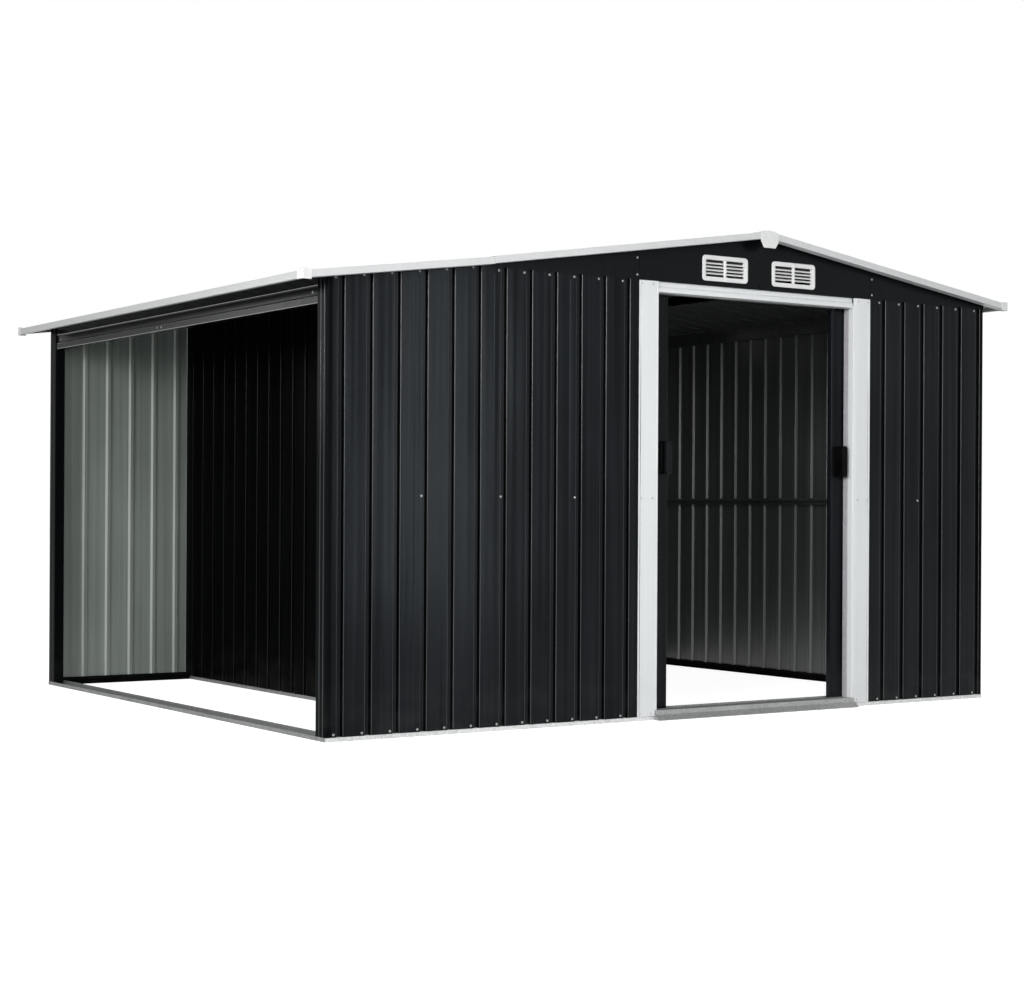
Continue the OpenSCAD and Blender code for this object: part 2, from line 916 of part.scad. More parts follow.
// Deep pull with a finger hollow on the side of the jamb
module leaf_handle() {
    x = leaf_x1 - handle_in - handle_w / 2;
    wall = 5;
    hollow_z = handle_d * 0.28;
    hollow_d = handle_d * 0.38;
    r = 9;
    color(black) translate([x, leaf_y - seat, handle_z]) rotate([90, 0, 0]) difference() {
        linear_extrude(height = handle_d) round_rect(handle_w, handle_h, r);
        translate([-handle_w, -handle_h / 2 + wall, hollow_z])
            cube([handle_w + wall, handle_h - 2 * wall, hollow_d]);
    }
}

module leaf_hanger(x) {
    lip_top = track_z + track_lip;
    y_in = track_lip_y - hook_play;
    y_out = track_lip_y + track_t + hook_play;
    back = min(y_out + hanger_t, leaf_back);
    nose_z = track_z + leaf_clear - 0.5;
    translate([x - hanger_w / 2, 0, 0]) run(hanger_w) polygon([
        [y_in - hook_nose, nose_z], [y_in, nose_z], [y_in, lip_top + hook_gap], [y_out, lip_top + hook_gap],
        [y_out, leaf_top], [back, leaf_top], [back, lip_top + hook_h], [y_in - hook_nose, lip_top + hook_h]
    ]);
}

module leaf_guide(x) {
    translate([x - hanger_w / 2, guide_y - guide_w / 2, guide_z0])
        cube([hanger_w, guide_w, leaf_z0 - guide_z0]);
}

module leaf_glides() {
    color(black) for (x = [leaf_x0 + hanger_in, leaf_x1 - hanger_in]) {
        leaf_hanger(x);
        leaf_guide(x);
    }
}

// The right leaf is the left one mirrored, moved to its own open place
module right_leaf() {
    translate([right_shift, 0, 0]) across() children();
}

module left_door_panel() {
    leaf_panel();
}

module left_door_rails() {
    leaf_rails();
}

module left_door_handle() {
    leaf_handle();
}

module left_door_glides() {
    leaf_glides();
}

module right_door_panel() {
    right_leaf() leaf_panel();
}

module right_door_rails() {
    right_leaf() leaf_rails();
}

module right_door_handle() {
    right_leaf() leaf_handle();
}

module right_door_glides() {
    right_leaf() leaf_glides();
}

placed() base_rail_front();
placed() base_rail_back();
placed() base_rail_right();
placed() lean_to_sill();
placed() divider_base_rail();
placed() door_threshold();
placed() door_track_bottom();
placed() front_wall_lean_to();
placed() front_wall_left();
placed() front_wall_right();
placed() right_wall();
placed() back_wall();
placed() back_wall_lean_to();
placed() divider_wall();
placed() divider_posts();
placed() lean_to_post_front();
placed() lean_to_post_back();
placed() corner_post_front();
placed() corner_post_back();
placed() door_jamb_left();
placed() door_jamb_right();
placed() door_posts();
placed() door_header();
placed() door_track_top();
placed() top_rail_front();
placed() top_rail_back();
placed() top_rail_right();
placed() top_rail_divider();
placed() mid_rails();
placed() lean_to_beam();
placed() lean_to_ledger();
placed() lean_to_end_rails();
placed() front_gable();
placed() back_gable();
placed() front_vents();
placed() back_vents();
placed() ridge_beam();
placed() roof_purlins();
placed() roof_left();
placed() roof_right();
placed() lean_to_roof();
placed() ridge_cap();
placed() ridge_end_caps();
placed() roof_trim_front();
placed() roof_trim_back();
placed() roof_trim_eaves();
placed() roof_corner_caps();
placed() left_door_panel();
placed() left_door_rails();
placed() left_door_handle();
placed() left_door_glides();
placed() right_door_panel();
placed() right_door_rails();
placed() right_door_handle();
placed() right_door_glides();
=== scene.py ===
"""Looks of a sheet-steel storage shed: rounded folds, ribbed panels, moulded trim, fasteners and finishes."""

import math

import bpy
import numpy as np
from mathutils import Matrix, Vector


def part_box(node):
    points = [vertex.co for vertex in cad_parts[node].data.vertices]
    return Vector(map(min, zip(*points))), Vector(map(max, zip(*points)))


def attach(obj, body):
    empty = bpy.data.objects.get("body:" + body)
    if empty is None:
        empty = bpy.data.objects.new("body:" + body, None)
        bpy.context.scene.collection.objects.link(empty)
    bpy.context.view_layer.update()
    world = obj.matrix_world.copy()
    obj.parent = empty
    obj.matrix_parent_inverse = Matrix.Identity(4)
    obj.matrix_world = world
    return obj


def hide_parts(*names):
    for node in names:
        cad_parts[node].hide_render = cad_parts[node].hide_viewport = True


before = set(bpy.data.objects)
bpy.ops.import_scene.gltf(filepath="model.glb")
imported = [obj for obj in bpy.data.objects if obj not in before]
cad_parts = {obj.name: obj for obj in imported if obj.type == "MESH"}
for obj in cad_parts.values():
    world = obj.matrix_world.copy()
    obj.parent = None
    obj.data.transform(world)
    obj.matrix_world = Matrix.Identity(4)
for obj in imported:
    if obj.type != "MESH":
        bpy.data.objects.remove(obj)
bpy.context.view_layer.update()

# Places are in millimetres from the front left corner of the base, and become metres in piece()
MM = 0.001
corner = np.array(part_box("base_rail_front")[0])


def span(node):
    """Lowest and highest corner of a node, in millimetres from the front left base corner."""
    low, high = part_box(node)
    return np.round((np.array(low) - corner) / MM, 2), np.round((np.array(high) - corner) / MM, 2)


# Thickness of the sheets and rails, and the gaps between them
SHEET_T = 0.5
RAIL_T = 1.0
JAMB_T = 0.8
LEAF_T = 0.6
TRIM_T = 0.8
TRACK_T = 1.2
CAP_T = 2.0
SEAT = 0.2
PANEL_GAP = 0.4
LAP_GAP = 0.4

# Ribbed sheet
RIB_PITCH = 107.0
RIB_D = 10.0
RIB_MOUTH = 24.0
RIB_FLOOR = 14.0
RIB_EDGE = 30.0
PANEL_RIBS = 6
CORNER_RIB = 33.0
RIB_BEND = 3.0

# Frame
HEM = 12.0
RAIL_W = 45.0
RAIL_H = 30.0
SILL_UP = 22.0
FRAME_H = 30.0
FRAME_D = 30.0
MID_D = 25.0
BEAM_H = 93.0
BEAM_D = 38.0
POST_R = 8.0
POST_LEG = 20.0
POST_SIDE = 68.0
RAIL_BEND = 2.2

# Plan, read from the frame
WIDTH = span("base_rail_front")[1][0]
DEPTH = span("base_rail_right")[1][1]
LEAN_W, _, LIP_H = span("front_wall_left")[0]
WALL_H = span("front_wall_left")[1][2]
JAMB_X0 = span("door_jamb_left")[0][0]
OPEN_X0 = span("door_header")[0][0] - SEAT
OPEN_X1 = span("door_header")[1][0] + SEAT
HEADER_Z = span("door_header")[0][2]
RIDGE_X = (OPEN_X0 + OPEN_X1) / 2
MAIN_W = WIDTH - LEAN_W
MID_H = (span("mid_rails")[0][2] + span("mid_rails")[1][2]) / 2

FRAME_V0 = RIB_D + SHEET_T + 1.5 * SEAT
FRAME_V1 = FRAME_V0 + FRAME_D
MID_V1 = FRAME_V0 + MID_D
SIDE_START = FRAME_V1 + SEAT
FRAME_Z0 = WALL_H - FRAME_H

# Roof
EAVE_GAP = 22.0
RIDGE_RISE = 182.0
LEAN_DROP = 66.0
LEAN_EAVE_H = WALL_H - LEAN_DROP
EAVE_OVER = 82.0
LEAN_OVER = 123.0
END_OVER = 56.0
LAP_OVER = 22.0
RIDGE_JOINT = 3.0
TRIM_TOP = 25.0
TRIM_LOW = 15.0
TRIM_START = 4.0
TRIM_BEND = 1.8
MAIN_TAN = RIDGE_RISE / (MAIN_W / 2)
RIDGE_UNDER = WALL_H + EAVE_GAP + RIDGE_RISE
LAP_X = LEAN_W - LAP_OVER
TRIM_RISE = RIB_D + SHEET_T + SEAT + TRIM_T
TRIM_DROP = 13.0
ROOF_Y0 = -END_OVER + TRIM_T + SEAT
ROOF_LEN = DEPTH - 2 * ROOF_Y0


def main_under(x):
    """Underside of the main roof over a point along the front."""
    return RIDGE_UNDER - MAIN_TAN * abs(x - RIDGE_X)


# The lean-to roof nests under the main roof, clear of its rib flanks
RIB_FLANK = (RIB_MOUTH - RIB_FLOOR) / 2
NEST_DROP = (SHEET_T + LAP_GAP) * math.hypot(RIB_FLANK, RIB_D) / RIB_FLANK
LEAN_TAN = (main_under(LAP_X) - NEST_DROP - LEAN_EAVE_H) / LAP_X


def lean_under(x):
    """Underside of the lean-to roof over a point along the front."""
    return LEAN_EAVE_H + LEAN_TAN * x


# Walls' own frames: u along the wall, v inward from its face, z up
def on_front(u, v, z):
    return u, v, z


def on_right(u, v, z):
    return WIDTH - v, u, z


def on_back(u, v, z):
    return WIDTH - u, DEPTH - v, z


def on_left(x):
    return lambda u, v, z: (x + v, DEPTH - u, z)


def under_ridge(x):
    """Runs from front to back, with v to the left of x."""
    return lambda u, v, z: (x - v, u, z)


def on_slope(x, y, z, slope):
    """Climbs from (x, y, z) towards the right: u up the slope, v to the back, z square to the slope."""
    c = math.cos(math.atan(slope))
    s = math.sin(math.atan(slope))
    return lambda u, v, w: (x + u * c - w * s, y + v, z + u * s + w * c)


def behind(place):
    """The same place on the back wall."""
    def moved(u, v, z):
        x, y, h = place(u, v, z)
        return x, DEPTH - y, h
    return moved


def across(place):
    """The same place on the other side of the ridge."""
    def moved(u, v, z):
        x, y, h = place(u, v, z)
        return 2 * RIDGE_X - x, y, h
    return moved


# Mesh tools: a solid is (points, faces, coats). Coat 0 is the outer finish and 1 the inner one, 2 and 3
# are those of bends that stand out on either side, 4 and 5 those of steps that a piece picks out by itself.
# Most pieces put a painted highlight on their bends, and painted shade or painted light on picked-out steps
def unit(v):
    return v / np.linalg.norm(v)


def stacked(x, y, z):
    """Points from three coordinates, of which some may be plain numbers."""
    return np.stack(np.broadcast_arrays(x, y, z), 1)


# Shares of a stretch that a bend may take up, and of that room that stays straight beside the bend
BEND_SHARE = 0.42
HOLD_SHARE = 0.1


def rounded(path, radius, steps=5, guard=0.7):
    """The path with its inner corners turned into arcs, and the turn of each step: 1 is left, -1 right."""
    p = np.array(path, float)
    out = [p[0]]
    bends = []
    for a, b, c in zip(p[:-2], p[1:-1], p[2:]):
        to_a = unit(a - b)
        to_c = unit(c - b)
        turn = math.pi - math.acos(np.clip(to_a @ to_c, -1, 1))
        if turn < math.radians(2):
            out.append(b)
            bends.append(0)
            continue
        room = BEND_SHARE * min(np.linalg.norm(a - b), np.linalg.norm(c - b))
        reach = min(radius * math.tan(turn / 2), room)
        centre = b + unit(to_a + to_c) * reach / math.sin(turn / 2)
        start = b + to_a * reach - centre
        end = b + to_c * reach - centre
        hold = min(guard, HOLD_SHARE * room)
        out.append(b + to_a * (reach + hold))
        for t in np.linspace(0, 1, steps + 1):
            swung = math.sin((1 - t) * turn) * start + math.sin(t * turn) * end
            out.append(centre + swung / math.sin(turn))
        out.append(b + to_c * (reach + hold))
        side = 1 if to_c[0] * to_a[1] > to_c[1] * to_a[0] else -1
        bends += [0, 0, *[side] * steps, 0]
    out.append(p[-1])
    bends.append(0)
    return np.array(out), bends


def divided(path, bends, spacing):
    """The path with points added to its long straight stretches, and the turns of its steps."""
    out = [path[:1]]
    turns = []
    for a, b, bend in zip(path[:-1], path[1:], bends):
        n = max(1, round(np.linalg.norm(b - a) / spacing))
        out.append(a + (b - a) * np.linspace(0, 1, n + 1)[1:, None])
        turns += [bend] * n
    return np.vstack(out), turns


def thickened(path, t):
    """The path offset to its left, mitred at each point."""
    step = np.diff(path, axis=0)
    normal = np.stack([-step[:, 1], step[:, 0]], 1) / np.linalg.norm(step, axis=1)[:, None]
    before = np.vstack([normal[:1], normal])
    after = np.vstack([normal, normal[-1:]])
    return path + (before + after) * t / (1 + (before * after).sum(1))[:, None]


def outward(points, faces, coats):
    """The solid with its faces turned outward."""
    volume = 0.0
    for f in faces:
        a = points[f[0]]
        for b, c in zip(f[1:-1], f[2:]):
            volume += a @ np.cross(points[b], points[c])
    if volume < 0:
        faces = [f[::-1] for f in faces]
    return points, faces, coats


def plain_coats(a, b, bend, k):
    """Outer and inner coat of a step of a bent sheet, from its turn; its middle and its row are not used."""
    return (2 if bend > 0 else 0), (3 if bend < 0 else 1)


def fold(path, t, radius, point, shares=(0, 1), spacing=None, coats_of=plain_coats):
    """Bent sheet: the path's outer face, thickened to its left and drawn out along point(a, b, share)."""
    outer, bends = rounded(path, radius)
    if spacing:
        outer, bends = divided(outer, bends, spacing)
    n = len(outer)
    ring = np.vstack([outer, thickened(outer, t)[::-1]])
    rows = [stacked(*point(ring[:, 0], ring[:, 1], s)) for s in shares]
    i = np.arange(2 * n)
    j = (i + 1) % (2 * n)
    middle = (outer[:-1] + outer[1:]) / 2
    faces = []
    coats = []
    for k in range(len(shares) - 1):
        a = 2 * n * k
        b = a + 2 * n
        faces += np.stack([a + i, a + j, b + j, b + i], 1).tolist()
        pairs = [coats_of(*mid, bend, k) for mid, bend in zip(middle, bends)]
        coats += [p[0] for p in pairs] + [0] + [p[1] for p in pairs[::-1]] + [0]
    m = np.arange(n - 1)
    last = 2 * n * (len(shares) - 1)
    faces += np.stack([m + 1, m, 2 * n - 1 - m, 2 * n - 2 - m], 1).tolist()
    faces += (last + np.stack([m, m + 1, 2 * n - 2 - m, 2 * n - 1 - m], 1)).tolist()
    coats += [0] * (2 * n - 2)
    return outward(np.vstack(rows), faces, coats)


def run_fold(place, u0, u1, path, t, bend=RAIL_BEND, mitre=False):
    """Folded rail along u, from a path in v and z. A mitred one is cut back at 45 degrees at both ends."""
    def point(v, z, s):
        cut = v * (1 - 2 * s) if mitre else 0
        return place(u0 + (u1 - u0) * s + cut, v, z)
    return fold(path, t, bend, point)


def stand_fold(place, z0, z1, path, t, bend=RAIL_BEND, coats_of=plain_coats):
    """Upright folded piece, from a path in u and v. z1 is a height, or a function of u."""
    def point(u, v, s):
        top = z1(u) if callable(z1) else z1
        return place(u, v, z0 + (top - z0) * s)
    return fold(path, t, bend, point, coats_of=coats_of)


def loft(rings, closed=False):
    """Skin over rings of as many points each: closed on itself, or with its two ends filled."""
    n = len(rings[0])
    i = np.arange(n)
    j = (i + 1) % n
    faces = []
    pairs = list(zip(range(len(rings)), range(1, len(rings))))
    if closed:
        pairs.append((len(rings) - 1, 0))
    for a, b in pairs:
        faces += np.stack([n * a + i, n * a + j, n * b + j, n * b + i], 1).tolist()
    if not closed:
        faces.append(i[::-1].tolist())
        faces.append((n * (len(rings) - 1) + i).tolist())
    return outward(np.vstack(rings), faces, [0] * len(faces))


def bar(outline, point):
    """Prism of a closed outline between point(a, b, 0) and point(a, b, 1)."""
    p = np.array(outline, float)
    return loft([stacked(*point(p[:, 0], p[:, 1], s)) for s in (0, 1)])


def round_rect(w, h, r, steps=6):
    """Outline of a rounded rectangle about its middle."""
    out = []
    for k, (x, y) in enumerate([(1, 1), (-1, 1), (-1, -1), (1, -1)]):
        for a in np.linspace(0, math.pi / 2, steps + 1) + k * math.pi / 2:
            out.append((x * (w / 2 - r) + r * math.cos(a), y * (h / 2 - r) + r * math.sin(a)))
    return np.array(out)


def piece(name, solids, coats, body="shed", replaces=(), sharp=38):
    """One object of the given solids, which rides on a body and may stand for CAD nodes."""
    points = []
    faces = []
    index = []
    count = 0
    for p, f, c in solids:
        points.append(p)
        faces += [[count + k for k in q] for q in f]
        index += c
        count += len(p)
    mesh = bpy.data.meshes.new(name)
    mesh.from_pydata((np.vstack(points) * MM + corner).tolist(), [], faces)
    for coat in coats:
        mesh.materials.append(coat)
    own = [k if k < len(coats) else min(k % 2, len(coats) - 1) for k in range(6)]
    mesh.polygons.foreach_set("material_index", [own[k] for k in index])
    mesh.polygons.foreach_set("use_smooth", [True] * len(faces))
    mesh.set_sharp_from_angle(angle=math.radians(sharp))
    mesh.update()
    made = bpy.data.objects.new(name, mesh)
    bpy.context.scene.collection.objects.link(made)
    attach(made, body)
    if replaces:
        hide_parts(*replaces)
    return made


def soften(made, width, segments=3, angle=30):
    """Rounds the sharp edges of a moulded piece by a width in millimetres."""
    bevel = made.modifiers.new("rounded_edges", "BEVEL")
    bevel.width = width * MM
    bevel.segments = segments
    bevel.limit_method = "ANGLE"
    bevel.angle_limit = math.radians(angle)
    return made


# Shader tools
def shader_node(tree, kind, **settings):
    """A node with its properties and unlinked inputs set by name; in_0 is the first input, and so on."""
    made = tree.nodes.new(kind)
    for key, value in settings.items():
        if key.startswith("in_"):
            label = key[3:]
            made.inputs[int(label) if label.isdigit() else label.replace("_", " ")].default_value = value
        else:
            setattr(made, key, value)
    return made


def wire(tree, source, target):
    tree.links.new(source, target)


def shader_group(name, inputs, outputs):
    """An empty node group with named sockets, and its two end nodes."""
    tree = bpy.data.node_groups.new(name, "ShaderNodeTree")
    for label, kind, value in inputs:
        socket = tree.interface.new_socket(name=label, in_out="INPUT", socket_type=kind)
        if value is not None:
            socket.default_value = value
    for label, kind in outputs:
        tree.interface.new_socket(name=label, in_out="OUTPUT", socket_type=kind)
    return tree, tree.nodes.new("NodeGroupInput"), tree.nodes.new("NodeGroupOutput")


def math_node(tree, operation, a, b=None, clamp=False):
    """A Math node fed by sockets or plain numbers, and its result."""
    made = shader_node(tree, "ShaderNodeMath", operation=operation, use_clamp=clamp)
    for k, value in enumerate([a, b]):
        if value is None:
            continue
        if isinstance(value, (int, float)):
            made.inputs[k].default_value = value
        else:
            wire(tree, value, made.inputs[k])
    return made.outputs[0]


def colour_mix(tree, share, a, b):
    """A colour between a and b, which are sockets or plain colours."""
    made = shader_node(tree, "ShaderNodeMix", data_type="RGBA")
    for socket, value in zip([made.inputs[0], made.inputs[6], made.inputs[7]], [share, a, b]):
        if isinstance(value, (int, float, tuple)):
            socket.default_value = value
        else:
            wire(tree, value, socket)
    return made.outputs[2]


def stretched_noise(tree, vector, stretch, detail=3.0, rough=0.55):
    """Noise whose cells are drawn out by a different scale along X, Y and Z."""
    scaled = shader_node(tree, "ShaderNodeVectorMath", operation="MULTIPLY")
    scaled.inputs[1].default_value = stretch
    wire(tree, vector, scaled.inputs[0])
    made = shader_node(tree, "ShaderNodeTexNoise", in_Scale=1.0, in_Detail=detail, in_Roughness=rough)
    wire(tree, scaled.outputs[0], made.inputs["Vector"])
    return made.outputs["Fac"]


def ramp(tree, value, low, high, out_low=0.0, out_high=1.0):
    """A value mapped smoothly from one range to another."""
    made = shader_node(tree, "ShaderNodeMapRange", interpolation_type="SMOOTHSTEP")
    for key, number in zip(["From Min", "From Max", "To Min", "To Max"], [low, high, out_low, out_high]):
        made.inputs[key].default_value = number
    wire(tree, value, made.inputs["Value"])
    return made.outputs["Result"]


def paint_film_group():
    """Coil-coated paint: upright roller streaks, soft clouds, splashed dust by the ground and a fine peel."""
    tree, come, go = shader_group(
        "paint_film",
        [("Vector", "NodeSocketVector", None), ("Deep", "NodeSocketColor", (0, 0, 0, 1)),
         ("Pale", "NodeSocketColor", (1, 1, 1, 1)), ("Dust Colour", "NodeSocketColor", (0.4, 0.38, 0.35, 1)),
         ("Dust", "NodeSocketFloat", 0.2), ("Gloss", "NodeSocketFloat", 0.35),
         ("Streaks", "NodeSocketFloat", 1.0)],
        [("Color", "NodeSocketColor"), ("Roughness", "NodeSocketFloat"), ("Height", "NodeSocketFloat")])
    streak = stretched_noise(tree, come.outputs["Vector"], (42.0, 42.0, 0.55), detail=4.0)
    cloud = stretched_noise(tree, come.outputs["Vector"], (2.3, 2.3, 1.7), detail=2.0)
    peel = stretched_noise(tree, come.outputs["Vector"], (620.0, 620.0, 620.0), detail=1.0)
    mixed = ramp(tree, math_node(tree, "ADD", math_node(tree, "MULTIPLY", streak, 0.62),
                                 math_node(tree, "MULTIPLY", cloud, 0.38)), 0.34, 0.66, -0.5, 0.5)
    tone = math_node(tree, "ADD", math_node(tree, "MULTIPLY", mixed, come.outputs["Streaks"]), 0.5)
    place = shader_node(tree, "ShaderNodeSeparateXYZ")
    wire(tree, come.outputs["Vector"], place.inputs[0])
    splash = math_node(tree, "MULTIPLY", ramp(tree, place.outputs["Z"], 0.26, 0.0),
                       ramp(tree, stretched_noise(tree, come.outputs["Vector"], (9.0, 9.0, 14.0)), 0.38, 0.7))
    surface = shader_node(tree, "ShaderNodeNewGeometry")
    facing = shader_node(tree, "ShaderNodeSeparateXYZ")
    wire(tree, surface.outputs["Normal"], facing.inputs[0])
    settled = math_node(tree, "MULTIPLY", ramp(tree, facing.outputs["Z"], 0.55, 0.98),
                        ramp(tree, cloud, 0.3, 0.75))
    dust = math_node(tree, "MULTIPLY", math_node(tree, "MAXIMUM", splash, settled), come.outputs["Dust"],
                     clamp=True)
    film = colour_mix(tree, tone, come.outputs["Deep"], come.outputs["Pale"])
    wire(tree, colour_mix(tree, dust, film, come.outputs["Dust Colour"]), go.inputs["Color"])
    sheen = math_node(tree, "ADD", come.outputs["Gloss"], math_node(tree, "MULTIPLY", streak, 0.10))
    wire(tree, math_node(tree, "ADD", sheen, math_node(tree, "MULTIPLY", dust, 0.3), clamp=True),
         go.inputs["Roughness"])
    wire(tree, peel, go.inputs["Height"])
    return tree


def zinc_group():
    """Hot-dip zinc: soft spangle cells, drawn lines along the rail and dull bloom."""
    tree, come, go = shader_group(
        "zinc_spangle",
        [("Vector", "NodeSocketVector", None), ("Dull", "NodeSocketColor", (0.3, 0.31, 0.31, 1)),
         ("Bright", "NodeSocketColor", (0.6, 0.61, 0.61, 1)), ("Cells", "NodeSocketFloat", 110.0)],
        [("Color", "NodeSocketColor"), ("Roughness", "NodeSocketFloat"), ("Height", "NodeSocketFloat")])
    cells = shader_node(tree, "ShaderNodeTexVoronoi", feature="SMOOTH_F1", in_Smoothness=0.35)
    wire(tree, come.outputs["Vector"], cells.inputs["Vector"])
    wire(tree, come.outputs["Cells"], cells.inputs["Scale"])
    crystal = shader_node(tree, "ShaderNodeSeparateColor")
    wire(tree, cells.outputs["Color"], crystal.inputs[0])
    bloom = stretched_noise(tree, come.outputs["Vector"], (7.0, 7.0, 7.0), detail=5.0)
    lines = stretched_noise(tree, come.outputs["Vector"], (6.0, 6.0, 900.0), detail=1.0)
    tone = math_node(tree, "ADD", math_node(tree, "MULTIPLY", crystal.outputs[0], 0.34),
                     math_node(tree, "ADD", math_node(tree, "MULTIPLY", bloom, 0.50),
                               math_node(tree, "MULTIPLY", lines, 0.16)))
    share = ramp(tree, tone, 0.25, 0.75)
    wire(tree, colour_mix(tree, share, come.outputs["Dull"], come.outputs["Bright"]), go.inputs["Color"])
    wire(tree, ramp(tree, tone, 0.2, 0.8, 0.58, 0.38), go.inputs["Roughness"])
    wire(tree, tone, go.inputs["Height"])
    return tree


def moulding_group():
    """Moulded plastic: a fine spark-eroded grain, faint flow clouds and scuffs on it."""
    tree, come, go = shader_group(
        "moulded_skin",
        [("Vector", "NodeSocketVector", None), ("Deep", "NodeSocketColor", (0, 0, 0, 1)),
         ("Pale", "NodeSocketColor", (1, 1, 1, 1)), ("Gloss", "NodeSocketFloat", 0.4)],
        [("Color", "NodeSocketColor"), ("Roughness", "NodeSocketFloat"), ("Height", "NodeSocketFloat")])
    flow = stretched_noise(tree, come.outputs["Vector"], (16.0, 16.0, 16.0), detail=4.0)
    grain = stretched_noise(tree, come.outputs["Vector"], (1500.0, 1500.0, 1500.0), detail=1.0)
    wire(tree, colour_mix(tree, ramp(tree, flow, 0.32, 0.68), come.outputs["Deep"], come.outputs["Pale"]),
         go.inputs["Color"])
    wire(tree, math_node(tree, "ADD", come.outputs["Gloss"], math_node(tree, "MULTIPLY", flow, 0.14)),
         go.inputs["Roughness"])
    wire(tree, grain, go.inputs["Height"])
    return tree


PAINT = paint_film_group()
ZINC = zinc_group()
MOULDING = moulding_group()
UNTINTED = (1, 1, 1, 1)
RELIEF = 0.0004


def finish(name, group, values, bump, metallic=0.0, specular=0.5, ior=1.5, tint=UNTINTED):
    """A material whose colour, roughness and relief come from a shared group with its own values."""
    made = bpy.data.materials.new(name)
    made.use_nodes = True
    tree = made.node_tree
    shader = tree.nodes["Principled BSDF"]
    shader.inputs["Metallic"].default_value = metallic
    shader.inputs["Specular IOR Level"].default_value = specular
    shader.inputs["IOR"].default_value = ior
    shader.inputs["Specular Tint"].default_value = tint
    effect = shader_node(tree, "ShaderNodeGroup", node_tree=group)
    for label, value in values.items():
        effect.inputs[label].default_value = value
    where = shader_node(tree, "ShaderNodeTexCoord")
    wire(tree, where.outputs["Object"], effect.inputs["Vector"])
    wire(tree, effect.outputs["Color"], shader.inputs["Base Color"])
    wire(tree, effect.outputs["Roughness"], shader.inputs["Roughness"])
    relief = shader_node(tree, "ShaderNodeBump", in_Strength=bump, in_Distance=RELIEF)
    wire(tree, effect.outputs["Height"], relief.inputs["Height"])
    wire(tree, relief.outputs["Normal"], shader.inputs["Normal"])
    return made


EARTH = (0.34, 0.32, 0.29, 1)
PALE_DUST = (0.55, 0.54, 0.50, 1)
# Dust colour darkened as painted shade, for the eave trims
EAVE_DUST_PAINTED_SHADE = (0.45, 0.44, 0.41, 1)
BLUISH = (0.82, 0.93, 1.0, 1)


def paint(name, deep, pale, gloss, shine, dust=0.02, soil=EARTH, bump=0.10, streaks=1.0, ior=1.5,
          tint=UNTINTED):
    """A painted finish between two colours."""
    values = {"Deep": (*deep, 1), "Pale": (*pale, 1), "Dust Colour": soil, "Dust": dust, "Gloss": gloss,
              "Streaks": streaks}
    return finish(name, PAINT, values, bump, specular=shine, ior=ior, tint=tint)


def plastic(name, deep, pale, gloss, bump, specular=0.5):
    """A moulded finish between two colours."""
    values = {"Deep": (*deep, 1), "Pale": (*pale, 1), "Gloss": gloss}
    return finish(name, MOULDING, values, bump, specular=specular)


def zinc(name, dull, bright, cells, bump, metallic):
    """A zinc finish between two colours, with its number of spangle cells to a metre."""
    values = {"Dull": (*dull, 1), "Bright": (*bright, 1), "Cells": cells}
    return finish(name, ZINC, values, bump, metallic)


# Paint outside and on the frame
anthracite_sheet = paint("anthracite_sheet", (0.0016, 0.0020, 0.0025), (0.0086, 0.0098, 0.0116), 0.14, 0.10,
                         tint=BLUISH)
# Painted highlight: a lighter, shinier copy of the sheet paint for the outer bends of the ribs
anthracite_bend_painted_highlight = paint("anthracite_bend_painted_highlight", (0.018, 0.020, 0.022), (0.050, 0.053, 0.056), 0.16, 0.40)
anthracite_gable = paint("anthracite_gable", (0.0030, 0.0035, 0.0038), (0.0056, 0.0064, 0.0068), 0.18, 0.08,
                         streaks=0.35, tint=BLUISH)
shaded_sheet = paint("anthracite_shaded_sheet", (0.0012, 0.0013, 0.0015), (0.0024, 0.0026, 0.0030),
                     0.26, 0.004)
# Painted highlight on the divider's bends, dimmer than on the other walls
shaded_bend_painted_highlight = paint("anthracite_shaded_bend_painted_highlight", (0.0036, 0.0040, 0.0044), (0.0072, 0.0080, 0.0086), 0.16, 0.16)
anthracite_frame = paint("anthracite_frame", (0.0030, 0.0035, 0.0038), (0.0060, 0.0068, 0.0074), 0.12, 0.008,
                         bump=0.08, streaks=0.3)
anthracite_beam = paint("anthracite_beam", (0.0034, 0.0040, 0.0040), (0.0068, 0.0078, 0.0078), 0.14, 0.045,
                        bump=0.08, streaks=0.3)
# Painted highlight: a lighter, shinier copy of the frame paint for the creases in the posts' sides
crease_painted_highlight = paint("anthracite_crease_painted_highlight", (0.010, 0.011, 0.012), (0.020, 0.022, 0.024), 0.10, 0.55,
                    bump=0.08, streaks=0.5, tint=BLUISH)
# Painted highlight: a lighter, much shinier copy of the frame paint for the folds of the lean-to's beam,
# ledger and end rails
frame_bend_painted_highlight = paint("anthracite_frame_bend_painted_highlight", (0.05, 0.053, 0.056), (0.09, 0.094, 0.098), 0.10, 0.95,
                   bump=0.08, streaks=0.5, ior=1.9)

# Paint inside
lean_coat = paint("grey_green_coat", (0.212, 0.242, 0.222), (0.306, 0.342, 0.314), 0.30, 0.40, dust=0.08)
# Painted light: a much paler copy of the grey-green coat, for the lean-to's rib flanks facing the open side
# and the roof's underside where it hangs over the walls
lean_flank_painted_light = paint("grey_green_flank_painted_light", (0.48, 0.52, 0.49), (0.59, 0.63, 0.59), 0.28, 0.50, dust=0.08)
# Painted shade: the grey-green coat darkened for the inside of the main room, its rails, roof underside and
# the doors' backs
room_coat_painted_shade = paint("grey_green_coat_painted_shade", (0.046, 0.052, 0.049), (0.074, 0.083, 0.077), 0.26, 0.70)
# Painted light on painted shade: the room's rib flanks facing the doorway, lighter than the darkened room
# coat
room_flank_painted_light = paint("room_grey_green_flank_painted_light", (0.15, 0.16, 0.155), (0.21, 0.225, 0.215), 0.24, 0.90)

